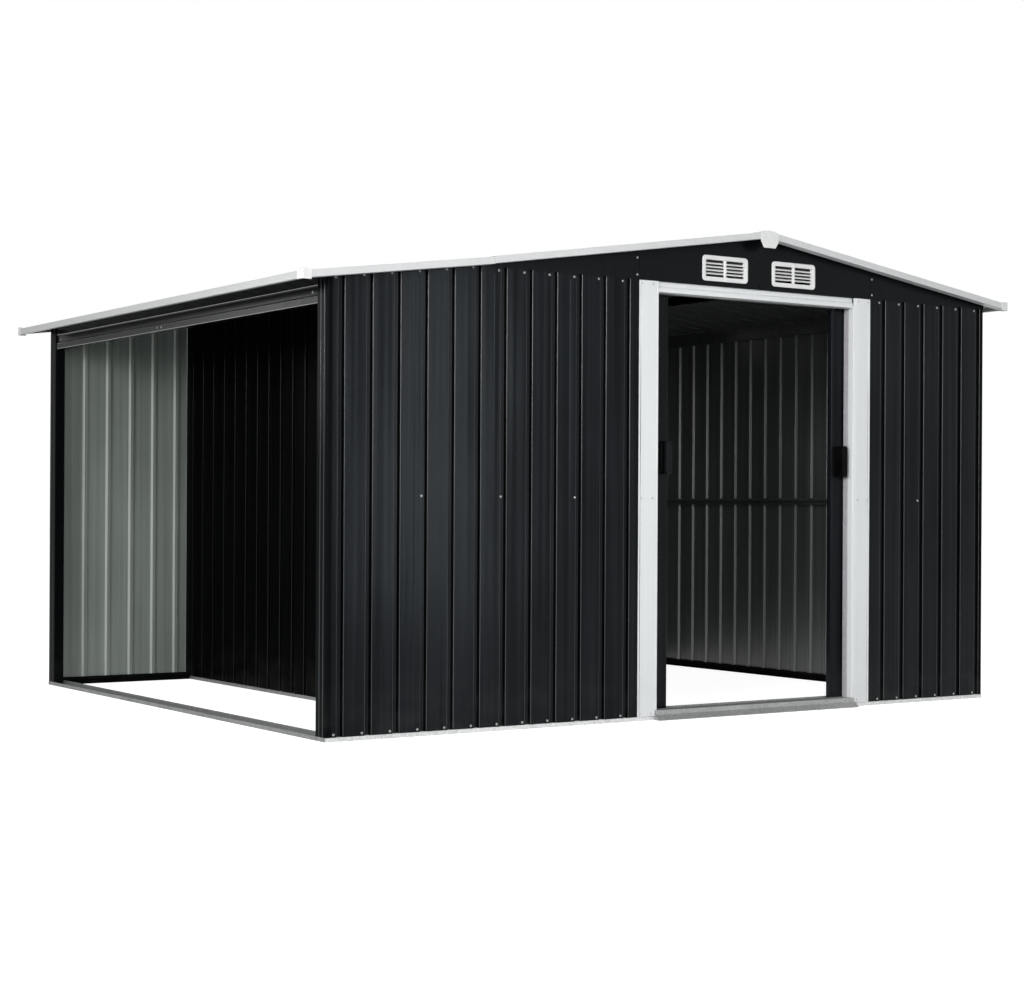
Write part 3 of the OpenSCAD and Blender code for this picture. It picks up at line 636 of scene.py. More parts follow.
# White paint
white_trim = paint("white_painted_trim", (0.70, 0.725, 0.735), (0.79, 0.81, 0.815), 0.34, 0.40,
                   dust=0.22, soil=PALE_DUST, streaks=0.4)
# Painted shade: a copy of the white trim paint darkened for the roof's front and back edge trims
roof_trim_painted_shade = paint("white_roof_trim_painted_shade", (0.59, 0.605, 0.605), (0.67, 0.68, 0.68), 0.36, 0.40,
                        dust=0.22, soil=PALE_DUST, streaks=0.4)
# Painted shade: a darker copy still, with darker dust, for the eave trims
eave_trim_painted_shade = paint("white_eave_trim_painted_shade", (0.50, 0.51, 0.51), (0.57, 0.58, 0.58), 0.36, 0.40,
                        dust=0.22, soil=EAVE_DUST_PAINTED_SHADE, streaks=0.4)

# Plastic and zinc
white_plastic = plastic("white_moulded_plastic", (0.73, 0.735, 0.73), (0.80, 0.80, 0.795), 0.36, 0.10)
black_plastic = plastic("black_moulded_plastic", (0.0020, 0.0020, 0.0020), (0.0036, 0.0036, 0.0036),
                        0.34, 0.14, specular=0.03)
# Painted light: a lighter, slightly shinier copy of the black plastic for the left handle's grip
grip_plastic_painted_light = plastic("satin_black_plastic", (0.0056, 0.0062, 0.0067), (0.0086, 0.0094, 0.0100),
                        0.38, 0.14, specular=0.06)
galvanised = zinc("galvanised_steel", (0.27, 0.28, 0.28), (0.38, 0.39, 0.385), 150.0, 0.05, 0.4)
# Painted light: a much paler copy of the galvanised zinc for the front base rail
zinc_painted_light = zinc("zinc_painted_light", (0.56, 0.57, 0.57), (0.74, 0.75, 0.74), 150.0, 0.05, 0.3)
# Painted shade: a darker copy of the galvanised zinc for the other base rails and the sill
zinc_painted_shade = zinc("zinc_painted_shade", (0.185, 0.192, 0.190), (0.270, 0.278, 0.272), 150.0, 0.05, 0.4)
smooth_zinc = zinc("smooth_zinc", (0.46, 0.45, 0.48), (0.53, 0.52, 0.55), 60.0, 0.03, 0.2)
pale_screw = zinc("pale_screw", (0.46, 0.47, 0.47), (0.60, 0.61, 0.61), 700.0, 0.10, 0.2)
plated_screw = zinc("plated_screw", (0.22, 0.22, 0.22), (0.36, 0.36, 0.35), 700.0, 0.10, 0.6)


# Ribbed sheets
def rib_row(length):
    """Places of the ribs along a wall of panels."""
    count = math.floor((length - 2 * RIB_EDGE) / RIB_PITCH) + 1
    start = (length - (count - 1) * RIB_PITCH) / 2
    return [start + k * RIB_PITCH for k in range(count)]


def ribbed(u0, u1, ribs):
    """Path of one ribbed panel from u0 to u1."""
    path = [(u0, 0)]
    for c in ribs:
        path += [(c - RIB_MOUTH / 2, 0), (c - RIB_FLOOR / 2, RIB_D)]
        path += [(c + RIB_FLOOR / 2, RIB_D), (c + RIB_MOUTH / 2, 0)]
    return path + [(u1, 0)]


def panels(length):
    """The panels of a wall or roof, as their two ends and their ribs."""
    ribs = rib_row(length)
    out = []
    for first in range(0, len(ribs), PANEL_RIBS):
        own = ribs[first:first + PANEL_RIBS]
        u0 = 0 if first == 0 else own[0] - RIB_PITCH / 2 + PANEL_GAP / 2
        u1 = length if own[-1] == ribs[-1] else own[-1] + RIB_PITCH / 2 - PANEL_GAP / 2
        out.append((u0, u1, own))
    return out


def flutter(u, z):
    """How far a thin sheet stands off its plane: rolled-in flutes, and bows between its rails."""
    flutes = 0.10 * np.sin(u / 5.9 + 0.4) + 0.07 * np.sin(u / 3.7 + 1.9) + 0.08 * np.sin(u / 13.1)
    low = np.clip((z - LIP_H) / (MID_H - LIP_H), 0, 1)
    high = np.clip((z - MID_H) / (WALL_H - MID_H), 0, 1)
    slack = np.where(z < MID_H, np.sin(math.pi * low), np.sin(math.pi * high))
    bows = np.sin(u / 27.0 + 0.8) * np.sin(u / 71.0 + z / 310.0) + 0.5 * np.sin(u / 44.0 - z / 190.0)
    return flutes * (0.55 + 0.45 * slack) + 0.42 * slack * bows


def ribbed_wall(place, u_shift, z0, z1, u0, u1, ribs, stations, spacing):
    """One ribbed panel of a wall, with the small waves of a thin sheet."""
    def point(u, v, s):
        top = z1(u + u_shift) if callable(z1) else z1
        z = z0 + (top - z0) * s
        return place(u + u_shift, v + flutter(u, z), z)
    shares = np.linspace(0, 1, stations)
    return fold(ribbed(u0, u1, ribs), SHEET_T, RIB_BEND, point, shares, spacing, groove_coats)


# Depths between which a step of a rib counts as its flank
FLANK_START = 1.0
FLANK_END = RIB_D - 0.1


def groove_coats(u, v, bend, k):
    """Rib flanks have their own coats: shaded outside, and catching the light inside."""
    if FLANK_START < v < FLANK_END:
        return 4, 5
    return plain_coats(u, v, bend, k)


# Rows of points up a sheet, and the spacing of points across it: fine in front, coarse elsewhere
FINE = (22, 7.0)
COARSE = (9, 14.0)


def lean_top(u):
    return lean_under(u) - SEAT


lean_ribs = rib_row(LEAN_W)
left_ribs = [LEAN_W + r for r in rib_row(JAMB_X0 - LEAN_W)]
right_x0 = 2 * RIDGE_X - JAMB_X0
right_ribs = [WIDTH - CORNER_RIB - k * RIB_PITCH
              for k in range(math.floor((WIDTH - right_x0 - CORNER_RIB - RIB_MOUTH) / RIB_PITCH), -1, -1)]
JAMB_TUCK = 45.0


def build_walls():
    lean = (LIP_H, lean_top, POST_R, LEAN_W - PANEL_GAP, lean_ribs, *FINE)
    rows = {
        "front_wall_lean_to": [ribbed_wall(on_front, 0, *lean)],
        "back_wall_lean_to": [ribbed_wall(behind(on_front), 0, *lean)],
        "front_wall_left": [ribbed_wall(on_front, 0, LIP_H, WALL_H, LEAN_W, JAMB_X0 + JAMB_TUCK,
                                        left_ribs, *FINE)],
        "front_wall_right": [ribbed_wall(on_front, 0, LIP_H, WALL_H, right_x0 - JAMB_TUCK, WIDTH - POST_R,
                                         right_ribs, *FINE)],
    }
    for name, place, shift, length in [
            ("right_wall", on_right, POST_R, DEPTH - 2 * POST_R),
            ("back_wall", on_back, POST_R, MAIN_W - POST_R),
            ("divider_wall", on_left(LEAN_W), SIDE_START, DEPTH - 2 * SIDE_START)]:
        rows[name] = [ribbed_wall(place, shift, LIP_H, WALL_H, *row, *COARSE) for row in panels(length)]
    for name, solids in rows.items():
        shaded = name == "divider_wall"
        # The divider's sheet and the outer rib flanks take painted shade and the bends a painted highlight;
        # inside the main room the coat is darkened as painted shade, and inner rib flanks are lightened as
        # painted light
        outer, bend = (shaded_sheet, shaded_bend_painted_highlight) if shaded else (anthracite_sheet, anthracite_bend_painted_highlight)
        inner, flank_painted_light = (lean_coat, lean_flank_painted_light) if name.endswith("lean_to") else (room_coat_painted_shade, room_flank_painted_light)
        piece(name + "_sheet", solids, [outer, inner, bend, inner, shaded_sheet, flank_painted_light],
              replaces=[name])


# Ground frame
BASE_PATH = [(FRAME_V0, RAIL_H), (FRAME_V0, LIP_H), (0, LIP_H), (0, 0), (RAIL_W, 0)]
SILL_PATH = [(0, LIP_H), (0, 0), (RAIL_W, 0), (RAIL_W, SILL_UP)]
DOOR_POST_W = 35.0
LOW_LIP = [(0, LIP_H - 2 * RAIL_T), (0, 0), (RAIL_W, 0)]
LEAF_CLEAR = 6.0
# Rails whose inner faces get dark paint as painted shade
BACK_RAILS = ("base_rail_back", "base_rail_right")


def build_ground_frame():
    left = OPEN_X0 - DOOR_POST_W
    right = OPEN_X1 + DOOR_POST_W

    def part(u0, u1, path, cut0, cut1):
        """A length of the front rail, mitred only where it meets a corner of the frame."""
        def point(v, z, s):
            return on_front(u0 + (u1 - u0) * s + v * (cut0 * (1 - s) - cut1 * s), v, z)
        return fold(path, RAIL_T, RAIL_BEND, point)

    front = [part(0, left, BASE_PATH, 1, 0), part(left, right, LOW_LIP, 0, 0),
             part(right, WIDTH, BASE_PATH, 0, 1)]
    rails = {
        "base_rail_front": front,
        "base_rail_back": [run_fold(on_back, 0, WIDTH, BASE_PATH, RAIL_T, mitre=True)],
        "base_rail_right": [run_fold(on_right, 0, DEPTH, BASE_PATH, RAIL_T, mitre=True)],
        "lean_to_sill": [run_fold(on_left(0), 0, DEPTH, SILL_PATH, RAIL_T, mitre=True)],
        "divider_base_rail": [run_fold(on_left(LEAN_W), RAIL_W + SEAT, DEPTH - RAIL_W - SEAT, BASE_PATH,
                                       RAIL_T)],
    }
    for name, solids in rails.items():
        # The front rail takes zinc lightened as painted light, the other rails zinc darkened as painted shade
        coats = [zinc_painted_light] if name == "base_rail_front" else [zinc_painted_shade]
        # The back and right rails get dark paint on their inner faces as painted shade
        if name in BACK_RAILS:
            coats.append(anthracite_frame)
        piece(name + "_rolled", solids, coats, replaces=[name])


# Posts
def post_corner():
    """Rounded corner of a post, from its front leg to its side leg."""
    return [(POST_R * (1 - math.sin(a)), POST_R * (1 - math.cos(a))) for a in np.linspace(0, math.pi / 2, 9)]


POST_CREASES = (21.0, 46.0)
CREASE_W = 5.0
CREASE_END = 0.6
POST_RETURN = 40.0


def crease_coats(u, v, bend, k):
    """Only the creases in a post's side get a lighter, shinier coat as a painted highlight."""
    return (2, 3) if any(c - CREASE_W < v < c + CREASE_END for c in POST_CREASES) else (0, 1)


def build_posts():
    lean = [(POST_LEG, 0), *post_corner()]
    for c in POST_CREASES:
        lean += [(0, c - CREASE_W), (CREASE_W / 2, c - CREASE_W / 2), (0, c)]
    lean += [(0, POST_SIDE), (POST_RETURN, POST_SIDE), (POST_RETURN, POST_SIDE - HEM)]
    plain = [(POST_LEG, 0), *post_corner(), (0, POST_LEG)]

    def from_right(u, v, z):
        return WIDTH - u, v, z

    lean_z1 = lean_under(-JAMB_T) - SEAT
    flange = RIB_EDGE - RIB_MOUTH / 2 - SEAT
    y0 = SHEET_T + SEAT
    cleat = [(LEAN_W, SIDE_START - SEAT), (LEAN_W, y0), (LEAN_W + flange, y0)]
    cleat_z = (RAIL_H + SEAT, FRAME_Z0 - SEAT)
    make = (JAMB_T, RAIL_BEND, crease_coats)
    posts = {
        "lean_to_post_front": [stand_fold(on_front, LIP_H, lean_z1, lean, *make)],
        "lean_to_post_back": [stand_fold(behind(on_front), LIP_H, lean_z1, lean, *make)],
        "corner_post_front": [stand_fold(from_right, LIP_H, WALL_H, plain, *make)],
        "corner_post_back": [stand_fold(behind(from_right), LIP_H, WALL_H, plain, *make)],
        "divider_posts": [stand_fold(on_front, *cleat_z, cleat, RAIL_T),
                          stand_fold(behind(on_front), *cleat_z, cleat, RAIL_T)],
    }
    for name, solids in posts.items():
        piece(name + "_folded", solids, [anthracite_frame, anthracite_frame, crease_painted_highlight, crease_painted_highlight],
              replaces=[name])


# Doorway
JAMB_RET = span("door_jamb_left")[1][1]
DOOR_POST_Y = span("door_posts")[1][1]
THRESHOLD_H = span("door_threshold")[1][2]
THRESHOLD_OUT = -span("door_threshold")[0][1]
guide_low, guide_high = span("door_track_bottom")
TRACK_X0, TRACK_X1 = span("door_track_top")[0][0], span("door_track_top")[1][0]
leaf_low, leaf_high = span("left_door_panel")
TRACK_PLAY = 3.0
TRACK_THROAT = 15.0
TRACK_GAP = 2.0
TRACK_LIP = 12.0
TRACK_WEB_Y = leaf_low[1] - TRACK_PLAY
TRACK_LIP_Y = TRACK_WEB_Y + TRACK_THROAT
TRACK_Z = HEADER_Z + TRACK_GAP
TRACK_TOP = WALL_H - TRACK_GAP
JAMB_CREASE_IN = 9.0
JAMB_CREASE_HALF = 1.6
JAMB_CREASE_Y = 0.4
HEADER_BAND = 22.0
HEADER_STEP = 2.0


def build_doorway():
    creased = [(JAMB_X0, -JAMB_T)]
    for x in (JAMB_X0 + JAMB_CREASE_IN, OPEN_X0 - JAMB_CREASE_IN):
        creased += [(x - JAMB_CREASE_HALF, -JAMB_T), (x, JAMB_CREASE_Y), (x + JAMB_CREASE_HALF, -JAMB_T)]
    creased.append((OPEN_X0, -JAMB_T))
    low = (LIP_H, FRAME_Z0 - SEAT, creased + [(OPEN_X0, JAMB_RET), (OPEN_X0 - HEM, JAMB_RET)], JAMB_T)
    high = (FRAME_Z0 - SEAT, WALL_H - SEAT, creased + [(OPEN_X0, 0)], JAMB_T)
    for name, place in [("door_jamb_left", on_front), ("door_jamb_right", across(on_front))]:
        piece(name + "_folded", [stand_fold(place, *low), stand_fold(place, *high)], [white_trim],
              replaces=[name])
    x0 = OPEN_X0 - DOOR_POST_W
    y0 = JAMB_RET + SEAT
    post = [(x0, y0), (OPEN_X0, y0), (OPEN_X0, DOOR_POST_Y), (x0, DOOR_POST_Y)]
    post_z = (RAIL_T + SEAT, FRAME_Z0 - SEAT)
    piece("door_posts_rolled",
          [stand_fold(on_front, *post_z, post, RAIL_T), stand_fold(across(on_front), *post_z, post, RAIL_T)],
          [smooth_zinc], replaces=["door_posts"])
    proud = span("door_header")[0][1]
    set_back = FRAME_V0 - JAMB_T - HEADER_STEP
    fold_z = HEADER_Z + HEADER_BAND
    header = [(set_back, WALL_H - SEAT), (set_back, fold_z), (proud, fold_z - set_back + proud),
              (proud, HEADER_Z), (FRAME_V1, HEADER_Z), (FRAME_V1, FRAME_Z0 - SEAT)]
    piece("door_header_folded", [run_fold(on_front, OPEN_X0 + SEAT, OPEN_X1 - SEAT, header, JAMB_T)],
          [white_trim], replaces=["door_header"])
    build_threshold()
    guide = [(guide_low[1], leaf_low[2] - LEAF_CLEAR - TRACK_GAP), (guide_low[1], 0), (guide_high[1], 0),
             (guide_high[1], guide_high[2])]
    y0 = FRAME_V1 + SEAT
    hung = [(TRACK_LIP_Y, TRACK_Z + TRACK_LIP), (TRACK_LIP_Y, TRACK_Z), (TRACK_WEB_Y, TRACK_Z),
            (TRACK_WEB_Y, TRACK_TOP), (y0, TRACK_TOP), (y0, FRAME_Z0 + TRACK_LIP)]
    for name, path in [("door_track_bottom", guide), ("door_track_top", hung)]:
        piece(name + "_rolled", [run_fold(on_front, TRACK_X0, TRACK_X1, path, TRACK_T)], [galvanised],
              replaces=[name])


def build_threshold():
    """A steep front edge over a ramp. Its closed ends reach in front of the jambs."""
    ear_x = span("door_threshold")[0][0]
    gap = JAMB_T + SEAT
    edge = 2.0
    crease = 7.0
    nose = 2.0
    bend = 4.0
    slope = [(-edge, THRESHOLD_H), (-crease, 0.55 * THRESHOLD_H), (-THRESHOLD_OUT, nose), (-THRESHOLD_OUT, 0)]
    tread = [(DOOR_POST_Y, 0), (DOOR_POST_Y, THRESHOLD_H), *slope]
    ear = [(-gap, THRESHOLD_H), *slope]
    solids = [run_fold(on_front, OPEN_X0 + SEAT, OPEN_X1 - SEAT, tread, RAIL_T, bend)]
    for place in (on_front, across(on_front)):
        solids.append(run_fold(place, ear_x, OPEN_X0 + SEAT, ear, RAIL_T, bend))
        plate = [(-gap, 0), (-gap, THRESHOLD_H - 0.4), (-2.6, THRESHOLD_H - 1), *slope[1:]]
        solids.append(bar(plate, lambda v, z, s: place(ear_x + RAIL_T * s, v, z)))
    piece("door_threshold_rolled", solids, [galvanised], replaces=["door_threshold"])


# Rails, as open channels with a turned-down lip
def channel(v0, v1, z0, z_out, z_in):
    return [(v1, z_in - HEM), (v1, z_in), (v0, z_out), (v0, z0), (v1, z0)]


def build_rails():
    end = (LEAN_W, WIDTH - FRAME_V0, channel(FRAME_V0, FRAME_V1, FRAME_Z0, WALL_H, WALL_H), RAIL_T)
    reach = (SIDE_START, DEPTH - SIDE_START)
    z0 = MID_H - FRAME_H / 2
    z1 = MID_H + FRAME_H / 2
    mid = channel(FRAME_V0, MID_V1, z0, z1, z1)
    inner = LEAN_W + RAIL_T + SEAT
    door_edge = DOOR_POST_W + SEAT

    def eave_rail(place, x_face, turn):
        z_out = main_under(x_face + turn * FRAME_V0) - SEAT
        z_in = main_under(x_face + turn * FRAME_V1) - SEAT
        return run_fold(place, *reach, channel(FRAME_V0, FRAME_V1, FRAME_Z0, z_out, z_in), RAIL_T)

    def mid_rail(place, u0, u1):
        return run_fold(place, u0, u1, mid, RAIL_T)

    rails = {
        "top_rail_front": [run_fold(on_front, *end)],
        "top_rail_back": [run_fold(behind(on_front), *end)],
        "top_rail_right": [eave_rail(on_right, WIDTH, -1)],
        "top_rail_divider": [eave_rail(on_left(LEAN_W), LEAN_W, 1)],
        "mid_rails": [
            mid_rail(on_right, *reach), mid_rail(on_left(LEAN_W), *reach),
            mid_rail(behind(on_front), inner, WIDTH - FRAME_V0),
            mid_rail(on_front, HEM + 2 * SEAT, LEAN_W - SEAT),
            mid_rail(on_front, inner, OPEN_X0 - door_edge),
            mid_rail(on_front, OPEN_X1 + door_edge, WIDTH - FRAME_V0)],
    }
    for name, solids in rails.items():
        # Painted shade: the rails take the darkened copy of the grey-green coat
        piece(name + "_rolled", solids, [room_coat_painted_shade], replaces=[name])


# Lean-to frame
BEAM_FACE = 2.0
BEAM_CREASE = 4.0
BEAM_BAND = 24.0
BEAM_SPLICE = 0.46 * DEPTH


def build_lean_to_frame():
    z0 = LEAN_EAVE_H - BEAM_H
    dent = BEAM_FACE + BEAM_CREASE
    top = z0 + 2.5 * BEAM_BAND
    beam = [(BEAM_D, lean_under(BEAM_D) - SEAT), (BEAM_FACE, lean_under(BEAM_FACE) - SEAT), (BEAM_FACE, top),
            (dent, top - BEAM_CREASE), (dent, z0 + BEAM_BAND + BEAM_CREASE), (BEAM_FACE, z0 + BEAM_BAND),
            (BEAM_FACE, z0), (BEAM_D, z0)]
    u0 = POST_SIDE + JAMB_T + SEAT
    z_top = lean_under(LEAN_W) - SEAT
    ledger = [(0, z_top - FRAME_H), (0, z_top), (-FRAME_D, lean_under(LEAN_W - FRAME_D) - SEAT)]
    x0 = BEAM_D + HEM
    length = (LEAN_W - FRAME_D - x0) / math.cos(math.atan(LEAN_TAN))
    end_rail = (0, length, [(MID_V1, 0), (FRAME_V0, 0), (FRAME_V0, -FRAME_H)], RAIL_T)
    slope = on_slope(x0, 0, lean_under(x0) - SEAT, LEAN_TAN)
    rails = {
        "lean_to_beam": [run_fold(on_left(0), u0, BEAM_SPLICE - PANEL_GAP / 2, beam, RAIL_T),
                         run_fold(on_left(0), BEAM_SPLICE + PANEL_GAP / 2, DEPTH - u0, beam, RAIL_T)],
        "lean_to_ledger": [run_fold(on_left(LEAN_W), SIDE_START, DEPTH - SIDE_START, ledger, RAIL_T)],
        "lean_to_end_rails": [run_fold(slope, *end_rail), run_fold(behind(slope), *end_rail)],
    }
    for name, solids in rails.items():
        # The folds carry a painted highlight
        piece(name + "_rolled", solids, [anthracite_beam, anthracite_beam, frame_bend_painted_highlight, frame_bend_painted_highlight],
              replaces=[name])


# Roof
def roof_sheet(turn, xa, xb, za, slope, over, spacing=30.0, stations=7):
    """A slope's ribbed panels, which hang over by a length. The path is their underside."""
    length = (xb - xa) / math.cos(math.atan(slope))
    shares = [0, *np.linspace(over / length, 1, stations)]
    place = turn(on_slope(xa, ROOF_Y0, za, slope))

    def panel(u0, u1, ribs):
        def point(u, w, s):
            sag = 0.35 * np.sin(u / 27.0 + 0.8) * math.sin(math.pi * s * 2)
            return place(length * s, u, w + 0.12 * np.sin(u / 5.9) + sag)
        return fold(ribbed(u0, u1, ribs), SHEET_T, RIB_BEND, point, shares, spacing, overhang_coats)

    return [panel(*row) for row in panels(ROOF_LEN)]


def overhang_coats(u, w, bend, k):
    """The underside is paler where it hangs over the walls, as painted light from below."""
    return (4 if k == 0 or u < END_OVER or u > ROOF_LEN - END_OVER else 0), 1


def same(place):
    return place


def build_roof():
    lean_x0 = -LEAN_OVER + TRIM_T + RIDGE_JOINT
    right_low = 2 * RIDGE_X - WIDTH - EAVE_OVER + TRIM_T + RIDGE_JOINT
    top = RIDGE_X - RIDGE_JOINT
    sheets = {
        "roof_left": roof_sheet(same, LAP_X, top, main_under(LAP_X), MAIN_TAN, LAP_OVER),
        "roof_right": roof_sheet(across, right_low, top, main_under(right_low), MAIN_TAN, EAVE_OVER),
        "lean_to_roof": roof_sheet(same, lean_x0, LEAN_W - PANEL_GAP, lean_under(lean_x0), LEAN_TAN,
                                   LEAN_OVER),
    }
    for name, solids in sheets.items():
        # Painted shade: the main roof's underside takes the darkened grey-green coat; its overhang a
        # painted-light coat
        under = lean_coat if name == "lean_to_roof" else room_coat_painted_shade
        coats = [under, anthracite_sheet, under, anthracite_sheet, lean_flank_painted_light]
        piece(name + "_sheet", solids, coats, replaces=[name])
    half = 20.0
    drop = 40.0
    z1 = main_under(RIDGE_X + half) - SEAT
    ends = (SHEET_T + SEAT, DEPTH - SHEET_T - SEAT)
    ridge = [(half, z1 - drop), (half, z1), (-half, z1), (-half, z1 - drop)]
    x = RIDGE_X - MAIN_W / 4
    purlin = [(-FRAME_D, main_under(x) - FRAME_H), (0, main_under(x) - FRAME_H), (0, main_under(x) - SEAT),
              (-FRAME_D, main_under(x + FRAME_D) - SEAT)]
    frames = {
        "ridge_beam": [run_fold(under_ridge(RIDGE_X), *ends, ridge, RAIL_T)],
        "roof_purlins": [run_fold(under_ridge(x), *ends, purlin, RAIL_T),
                         run_fold(across(under_ridge(x)), *ends, purlin, RAIL_T)],
    }
    for name, solids in frames.items():
        piece(name + "_rolled", solids, [anthracite_frame], replaces=[name])


RIDGE_HALF = 70.0
EDGE_LOW = 38.0


def build_roof_trim():
    z0 = RIDGE_UNDER + (RIB_D + SHEET_T) / math.cos(math.atan(MAIN_TAN)) + SEAT
    bead = 12.0
    bead_h = 5.0
    low = z0 - MAIN_TAN * RIDGE_HALF
    foot = z0 - MAIN_TAN * bead
    cap = [(-RIDGE_HALF, low), (-bead, foot), (-bead + 3, z0 + bead_h), (bead - 3, z0 + bead_h), (bead, foot),
           (RIDGE_HALF, low)]
    u0 = -END_OVER + TRIM_TOP + SEAT

    def along_ridge(u, v, z):
        return RIDGE_X + v, u, z

    edge = [(TRIM_TOP, TRIM_RISE), (0, TRIM_RISE), (0, -TRIM_DROP), (EDGE_LOW, -TRIM_DROP)]

    def edge_trim(turn, xa, xb, za, slope):
        place = turn(on_slope(xa, -END_OVER, za, slope))
        return run_fold(place, 0, (xb - xa) / math.cos(math.atan(slope)), edge, TRIM_T, TRIM_BEND)

    def edge_trims(turn):
        lean_xa = -LEAN_OVER + TRIM_START
        main_xa = 2 * RIDGE_X - WIDTH - EAVE_OVER + TRIM_START
        top = RIDGE_X - RIDGE_JOINT
        return [
            edge_trim(turn, lean_xa, LAP_X - LAP_GAP, lean_under(lean_xa), LEAN_TAN),
            edge_trim(turn, LAP_X, top, main_under(LAP_X), MAIN_TAN),
            edge_trim(lambda place: turn(across(place)), main_xa, top, main_under(main_xa), MAIN_TAN)]

    def eave_trim(place, z, slope):
        path = [(TRIM_TOP, z + TRIM_RISE + 1 + slope * TRIM_TOP), (0, z + TRIM_RISE + 1), (0, z - TRIM_DROP),
                (TRIM_LOW, z - TRIM_DROP)]
        return run_fold(place, u0, DEPTH - u0, path, TRIM_T, TRIM_BEND)

    def past_right(u, v, z):
        return WIDTH + EAVE_OVER - v, u, z

    trims = {
        "ridge_cap": [run_fold(along_ridge, u0, DEPTH - u0, cap, TRIM_T, TRIM_BEND)],
        "roof_trim_front": edge_trims(same),
        "roof_trim_back": edge_trims(behind),
        "roof_trim_eaves": [
            eave_trim(on_left(-LEAN_OVER), lean_under(-LEAN_OVER), LEAN_TAN),
            eave_trim(past_right, main_under(WIDTH + EAVE_OVER), MAIN_TAN)],
    }
    for name, solids in trims.items():
        # The roof trims take white paint darkened as painted shade, the eave trims darker still
        coat = eave_trim_painted_shade if name == "roof_trim_eaves" else roof_trim_painted_shade
        piece(name + "_folded", solids, [coat], replaces=[name])


def build_roof_caps():
    leg = 34.0

    def corner_cap(place, z, slope):
        return stand_fold(place, z - TRIM_DROP - CAP_T, z + TRIM_RISE + CAP_T + slope * leg,
                          [(leg, 0), (0, 0), (0, leg)], CAP_T, 5.0)

    def at_left(u, v, z):
        return u - LEAN_OVER, v - END_OVER, z

    def at_right(u, v, z):
        return WIDTH + EAVE_OVER - u, v - END_OVER, z

    caps = []
    for turn in (same, behind):
        caps.append(corner_cap(turn(at_left), lean_under(-LEAN_OVER), LEAN_TAN))
        caps.append(corner_cap(turn(at_right), main_under(WIDTH + EAVE_OVER), MAIN_TAN))
    made = piece("roof_corner_caps_moulded", caps, [white_plastic],
                 replaces=["roof_corner_caps"])
    soften(made, 0.6, 2)
    half = 44.0
    foot = 28.0
    hood = 24.0
    skirt = 51.0
    cheek = 24.0
    z0 = RIDGE_UNDER + TRIM_RISE / math.cos(math.atan(MAIN_TAN)) + SEAT
    low = RIDGE_UNDER - skirt
    side = z0 - MAIN_TAN * half
    left = (-half, side + CAP_T)
    peak = (0, z0 + 2 * CAP_T)
    right = (half, side + CAP_T)
    face = [left, (-half, low + cheek), (-foot, low), (foot, low), (half, low + cheek), right, peak]
    cover = [(-half, side), (0, z0), (half, side), right, peak, left]
    ends = []
    for turn in (same, behind):
        front = turn(lambda x, y, z: (RIDGE_X + x, y, z))
        ends.append(bar(face, lambda a, b, s: front(a, -END_OVER - CAP_T + (CAP_T - SEAT) * s, b)))
        ends.append(bar(cover, lambda a, b, s: front(a, -END_OVER - SEAT + hood * s, b)))
    made = piece("ridge_end_caps_moulded", ends, [white_plastic],
                 replaces=["ridge_end_caps"])
    soften(made, 0.8)


# Gables and vents
VENT_W = 220.0
VENT_H = 96.0
VENT_IN = 60.0
VENT_UP = 18.0
VENT_RIM = 14.0
VENT_SLOTS = 5
VENT_FACE = 3.0
VENT_PLUG = 10.0
SEAM_GAP = 1.6
GABLE_HALF = (OPEN_X1 - OPEN_X0) / 2 + (OPEN_X0 - JAMB_X0)


def slab(place, xa, xb, za, zb):
    """Flat sheet of a gable between two uprights, with a lower and an upper edge that are functions of x."""
    steps = np.linspace(xa, xb, 9)
    rings = []
    for x in steps:
        z = np.array([za(x), zb(x), zb(x), za(x)])
        y = np.array([0.0, 0.0, SHEET_T, SHEET_T])
        rings.append(stacked(*place(np.full(4, x), y, z)))
    return loft(rings)


def build_gables():
    vent_x1 = RIDGE_X - VENT_IN - VENT_RIM
    vent_x0 = RIDGE_X - VENT_IN - VENT_W + VENT_RIM
    vent_z0 = WALL_H + VENT_UP + VENT_RIM
    vent_z1 = WALL_H + VENT_UP + VENT_H - VENT_RIM
    foot = [(0.0, 0.0), (FRAME_V0 + HEM, 0.0), (FRAME_V0 + HEM, SHEET_T), (0.0, SHEET_T)]

    def floor(x):
        return WALL_H

    def top(x):
        return main_under(x) - SEAT

    def half(place):
        """Left half of a gable: a plain panel, and one that is cut out behind its vent."""
        a = RIDGE_X - GABLE_HALF - SEAM_GAP / 2
        b = RIDGE_X - GABLE_HALF + SEAM_GAP / 2
        c = RIDGE_X - SEAM_GAP / 2
        out = [slab(place, LEAN_W, a, floor, top), slab(place, b, vent_x0, floor, top),
               slab(place, vent_x1, c, floor, top), slab(place, vent_x0, vent_x1, floor, lambda x: vent_z0),
               slab(place, vent_x0, vent_x1, lambda x: vent_z1, top)]
        for x0, x1 in [(LEAN_W, a), (b, c)]:
            out.append(bar(foot, lambda v, z, s: place(x0 + (x1 - x0) * s, v, WALL_H + z)))
        return out

    for name, place in [("front_gable", on_front), ("back_gable", behind(on_front))]:
        piece(name + "_sheet", half(place) + half(across(place)), [anthracite_gable],
              replaces=[name])


